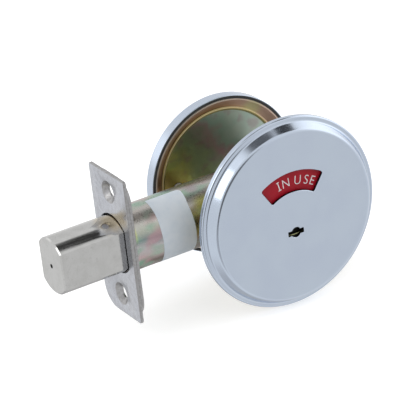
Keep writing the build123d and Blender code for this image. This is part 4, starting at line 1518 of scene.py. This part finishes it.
@dataclass
class InsideRose(SpunRose):
    """Smaller rose with the thumbturn's hole, its plate and gasket, and the two long screws.

    Attributes:
        shaft_hole_r, screw_hole_r: Radii of its holes.
        screw_hole_points: Points round a screw hole.
        screw_half: Half the distance between the screws.
        screw_r, screw_tip: Radius of a screw and place of its tip.
        pitch, thread: Pitch and depth of its thread.
        flank: How steep the thread is, where 2 has no flat crest.
        point_from, point_share: Where along a screw its point starts, and how thin it ends.
        tuck: How far the shank reaches into the head.
        head_r, head: Radius and height of its head.
        head_side, head_top: How full the head is to the side and to the top, less for fuller.
        recess_wide, recess_long, recess_deep: Sizes of the cross in its head.
        shank_around, pitch_rows, head_around, head_rows: Faces round and along its parts.
    """

    nodes = {"inside_rose": SATIN_CHROME, "inside_plate": DISH_ZINC, "inside_gasket": RUBBER,
             "mounting_screws": SCREW_STEEL}
    name: str = "inside_rose_spun"
    node: str = "inside_rose"
    shaft_hole_r: float = 5.0
    screw_hole_r: float = 2.1
    screw_hole_points: int = 40
    screw_half: float = 19.05
    screw_r: float = 2.0
    screw_tip: float = -16.0
    pitch: float = 0.8
    thread: float = 0.28
    flank: float = 2.5
    point_from: float = 0.975
    point_share: float = 0.7
    tuck: float = 0.4
    head_r: float = 3.9
    head: float = 2.2
    head_side: float = 0.42
    head_top: float = 0.95
    recess_wide: float = 0.95
    recess_long: float = 4.6
    recess_deep: float = 1.3
    shank_around: int = 24
    pitch_rows: int = 8
    head_around: int = 40
    head_rows: int = 14

    def openings(self, grow: float) -> list[list[Flat]]:
        """Outlines of the shaft's hole and the two screw holes."""
        screw_holes = (circle(self.axis_x + side * self.screw_half, 0.0, self.screw_hole_r + grow,
                              self.screw_hole_points) for side in (-1, 1))
        return [circle(self.axis_x, self.spindle_z, self.shaft_hole_r + grow), *screw_holes]

    def build(self) -> None:
        """Makes the rose and the screws."""
        super().build()
        self.add_screws()

    def add_screws(self) -> None:
        """Two threaded screws with domed cross-recessed heads."""
        tree = ShapeTree("mounting_screws_threaded", SCREW_STEEL)
        reach = self.door + self.depth - self.screw_tip
        length, radius, depth, pitch, head_r, head = tree.sizes(
            length=reach, shank_radius=self.screw_r, thread_depth=self.thread, pitch=self.pitch,
            head_radius=self.head_r, head_height=self.head)

        def below(along: Number) -> Number:
            """Place along the shank, from just inside the head to the tip."""
            return self.tuck - along * (length + self.tuck)

        def threaded(turn: Number, along: Number) -> Number:
            """Radius of the thread, drawn in at the tip.

            Args:
                turn: The turn about the screw, from 0 to 1.
                along: The share of the way along the shank.

            Returns:
                The radius.
            """
            phase = below(along) / pitch + turn
            wave = tree.math("ABSOLUTE", tree.math("FRACT", phase) - 0.5)
            crest = tree.math("MINIMUM", wave * self.flank, 1.0)
            point = tree.fit(along, self.point_from, 1.0, 1.0, self.point_share)
            return (radius - depth * (1.0 - crest)) * point

        shank = tree.turned(self.shank_around, int(reach / self.pitch * self.pitch_rows), threaded,
                            below)
        dome = tree.turned(
            self.head_around, self.head_rows,
            lambda turn, along: head_r * tree.quarter("COSINE", along) ** self.head_side,
            lambda along: head * tree.quarter("SINE", along) ** self.head_top)
        pierced = tree.add("GeometryNodeMeshBoolean", {
            "Mesh 1": dome, "Mesh 2": self.cross(tree, head)}, operation="DIFFERENCE")
        places = [(self.axis_x + side * self.screw_half, self.door + self.depth, 0.0)
                  for side in (-1, 1)]
        settle(tree.mesh([shank, pierced.outputs[0]], places), Body.CASE,
               [SCREW_STEEL], ("mounting_screws",))

    def cross(self, tree: ShapeTree, head: Number) -> Socket:
        """Two crossed bars that are cut out of a head.

        Args:
            tree: The screws' tree.
            head: Height of the head.

        Returns:
            The bars as one shape.
        """
        wide, long, deep = tree.sizes(recess_width=self.recess_wide, recess_length=self.recess_long,
                                      recess_depth=self.recess_deep)
        lift = tree.add("ShaderNodeCombineXYZ", {1: head})
        bars = []
        for x, z in ((wide, long), (long, wide)):
            size = tree.add("ShaderNodeCombineXYZ", {0: x, 1: deep * 2.0, 2: z})
            cube = tree.add("GeometryNodeMeshCube", {"Size": size.outputs[0]})
            bars.append(tree.add("GeometryNodeTransform", {
                "Geometry": cube.outputs[0], "Translation": lift.outputs[0]}).outputs[0])
        return tree.add("GeometryNodeMeshBoolean", {"Mesh 2": bars}, operation="UNION").outputs[0]


@dataclass
class Indicator(SubAssembly):
    """Sector behind the window, red where it shows a used room and green where a free one.

    Attributes:
        spindle: Place of the spindle's axis, x and z.
        front, back: Its faces, y.
        hub_r, hole_r: Radii of its hub and of the hub's hole.
        outer_r: Radius of the sector.
        first, border, last: Angles from up towards +X of its ends and of its colours' border.
        step: Angle between points of its edge.
        paint: How far the paint runs over its edge.
        ink: Thickness of the lettering.
        letter: Height of the capitals.
        capital: That height as a share of the typeface's size.
        narrow: Width of the capitals as a share of the typeface's.
        thin: How much their outlines are drawn in.
        smooth: Parts of each curve of their outlines.
        stem, serif, serif_rise: Half widths of the I's stem and serifs, and the serifs' height.
        letter_r: Radius of the letters' middles.
        vacant_turn: Angle of the second word's middle.
        in_use, vacant: Letters and their angles.
    """

    RED, GREEN, BARE = range(3)
    nodes = {"indicator_disc": RED_ENAMEL}
    spindle: Flat = (60.325, -6.7)
    front: float = -26.15
    back: float = -25.35
    hub_r: float = 9.0
    hole_r: float = 5.02
    outer_r: float = 25.5
    first: float = -127.6
    border: float = -45.0
    last: float = 37.6
    step: float = 2.0
    paint: float = 0.12
    ink: float = 0.04
    letter: float = 3.65
    capital: float = 0.72
    narrow: float = 0.92
    thin: float = 0.05
    smooth: int = 4
    stem: float = 0.2
    serif: float = 0.6
    serif_rise: float = 0.34
    letter_r: float = 20.1
    vacant_turn: float = -90.0
    in_use: tuple[tuple[str, float], ...] = (
        ("I", -13.1), ("N", -4.2), ("U", 10.4), ("S", 21.2), ("E", 29.1))
    vacant: tuple[tuple[str, float], ...] = (
        ("V", -23.5), ("A", -14.5), ("C", -5.0), ("A", 4.6), ("N", 14.6), ("T", 23.8))

    def place(self, radius: float, angle: float, y: float) -> Point:
        """Point at a radius and an angle from up towards +X."""
        turned = radians(angle)
        return self.spindle[0] + radius * sin(turned), y, self.spindle[1] + radius * cos(turned)

    def build(self) -> None:
        """Makes the painted sector and its lettering."""
        shell = Shell()
        self.add_field(shell, self.RED, self.border, self.last)
        self.add_field(shell, self.GREEN, self.first, self.border)
        self.add_hub(shell)
        settle(shell.mesh("indicator_plate"), Body.INDICATOR,
               [RED_ENAMEL, GREEN_ENAMEL, BARE_STEEL], ("indicator_disc",))
        self.add_letters("in_use_lettering", self.in_use, 0.0)
        self.add_letters("vacant_lettering", self.vacant, self.vacant_turn)

    def add_field(self, shell: Shell, slot: int, first: float, last: float) -> None:
        """One painted field of the sector, from the hub's rim to its outer edge.

        Args:
            shell: The sector's shape.
            slot: The field's material index.
            first: Angle of its first end.
            last: Angle of its last end.
        """
        count = int(round((last - first) / self.step))
        angles = [first + (last - first) * i / count for i in range(count + 1)]
        outline = [(self.hub_r, a) for a in angles] + [(self.outer_r, a) for a in reversed(angles)]
        front, painted, back = [shell.loop([self.place(r, a, y) for r, a in outline])
                                for y in (self.front, self.front + self.paint, self.back)]
        shell.wall(front, painted, slot)
        shell.wall(painted, back, self.BARE)
        shell.cap(front, slot=slot)
        shell.cap(back, slot=self.BARE)

    def add_hub(self, shell: Shell) -> None:
        """Bare hub round the rotor's head.

        Args:
            shell: The sector's shape.
        """
        angles = [i * self.step * 2 for i in range(int(180 / self.step))]
        hole, rim = [[shell.loop([self.place(r, a, y) for a in angles])
                      for y in (self.front, self.back)] for r in (self.hole_r, self.hub_r)]
        for loops in (hole, rim):
            shell.walls(loops, self.BARE)
        for outer, inner in zip(rim, hole):
            shell.cap(outer, inner, slot=self.BARE)

    def serif_i(self) -> bpy.types.Mesh:
        """Capital I with short serifs.

        Returns:
            Its mesh in millimetres, standing on y 0 about x 0.
        """
        shell = Shell()
        tall, rise = self.letter, self.serif_rise
        half = [(self.serif, 0.0), (self.serif, rise), (self.stem, rise), (self.stem, tall - rise),
                (self.serif, tall - rise), (self.serif, tall)]
        outline = half + [(-x, y) for x, y in reversed(half)]
        loops = [shell.loop([(x, y, z) for x, y in outline])
                 for z in (-self.ink / 2, self.ink / 2)]
        shell.walls(loops)
        for loop in loops:
            shell.cap(loop)
        mesh = shell.mesh("serif_i")
        mesh.transform(Matrix.Scale(1 / MM, 4))
        return mesh

    def glyph(self, letter: str) -> bpy.types.Mesh:
        """Capital in a plain typeface.

        Args:
            letter: The capital.

        Returns:
            Its mesh in millimetres, standing on y 0 about x 0.
        """
        if letter == "I":
            return self.serif_i()
        curve = bpy.data.curves.new("letter", "FONT")
        curve.body = letter
        curve.size = self.letter / self.capital
        curve.align_x = "CENTER"
        curve.extrude = self.ink / 2
        curve.offset = -self.thin
        curve.resolution_u = self.smooth
        text = bpy.data.objects.new("letter", curve)
        mesh = bpy.data.meshes.new_from_object(text)
        mesh.transform(Matrix.Scale(self.narrow, 4, (1, 0, 0)))
        bpy.data.objects.remove(text)
        bpy.data.curves.remove(curve)
        return mesh

    def add_letters(self, name: str, letters: tuple[tuple[str, float], ...], turn: float) -> None:
        """Printed capitals along the sector, each upright on its own radius.

        Args:
            name: The piece's name.
            letters: Each letter with its angle.
            turn: Angle of the word's middle.
        """
        shell = Shell()
        for letter, angle in letters:
            mesh = self.glyph(letter)
            middle = self.place(self.letter_r, angle + turn, self.front - self.ink / 2)
            mesh.transform(Matrix.Translation((0, -self.letter / 2, 0)))
            mesh.transform(Matrix.Translation(middle)
                           @ Matrix.Rotation(radians(angle + turn), 4, "Y")
                           @ Matrix.Rotation(pi / 2, 4, "X"))
            shell.bm.from_mesh(mesh)
            bpy.data.meshes.remove(mesh)
        settle(shell.mesh(name), Body.INDICATOR, [WHITE_INK])


@dataclass
class PaperLabel(SubAssembly):
    """Bare white paper label wrapped round the tube.

    Attributes:
        radius: The tube's radius.
        paper: Thickness of the paper.
        lift: Gap under it.
        left, right: Its edges, as angles from up towards the outside and places along x.
        rows, columns: Faces round it and along it.
    """

    radius: float = 12.05
    paper: float = 0.08
    lift: float = 0.005
    left: tuple[Flat, ...] = ((0.6, 14.25), (24.0, 14.05), (50.0, 13.85), (67.0, 13.6),
                              (98.0, 13.7), (130.0, 14.05), (168.0, 14.6))
    right: tuple[Flat, ...] = ((0.6, 27.2), (2.2, 28.0), (4.5, 28.4), (9.0, 28.5), (22.0, 28.2),
                               (42.0, 27.5), (66.0, 27.45), (98.0, 27.55), (130.0, 27.8),
                               (168.0, 28.2))
    rows: int = 60
    columns: int = 12

    def edge(self, table: tuple[Flat, ...], angle: float) -> float:
        """Where an edge is at an angle.

        Args:
            table: The edge.
            angle: The angle, no more than the table's last.

        Returns:
            Place along x.
        """
        for (low, first), (high, last) in zip(table, table[1:]):
            if angle <= high:
                return first + (last - first) * (angle - low) / (high - low)
        return table[-1][1]

    def build(self) -> None:
        """Makes the label as a thin curved sheet."""
        shell = Shell()
        top, bottom = self.left[0][0], self.left[-1][0]
        sides = []
        for radius in (self.radius + self.paper, self.radius + self.lift):
            grid = []
            for row in range(self.rows + 1):
                angle = top + (bottom - top) * row / self.rows
                left, right = self.edge(self.left, angle), self.edge(self.right, angle)
                y, z = -radius * sin(radians(angle)), radius * cos(radians(angle))
                grid.append(shell.loop([(left + (right - left) * column / self.columns, y, z)
                                        for column in range(self.columns + 1)]))
            sides.append(grid)
        for grid in sides:
            for upper, lower in zip(grid, grid[1:]):
                for column in range(self.columns):
                    shell.face((upper[column], upper[column + 1], lower[column + 1],
                                lower[column]))
        rims = [[line[0] for line in grid[:-1]] + grid[-1][:-1]
                + [line[-1] for line in grid[:0:-1]] + grid[0][:0:-1] for grid in sides]
        shell.walls(rims)
        settle(shell.mesh("tube_label"), Body.CASE, [PAPER])


def main() -> None:
    """Builds the studio and the looks of every piece."""
    logging.basicConfig(level=logging.INFO, format="%(name)s %(message)s")
    Studio().build()
    for group in (Faceplates(), Latch(), DeadBolt(), CamWorks(), OutsideRose(), Indicator(),
                  InsideRose(), Thumbturn(), PaperLabel()):
        group.dress()
        group.build()


if __name__ == "__main__":
    main()
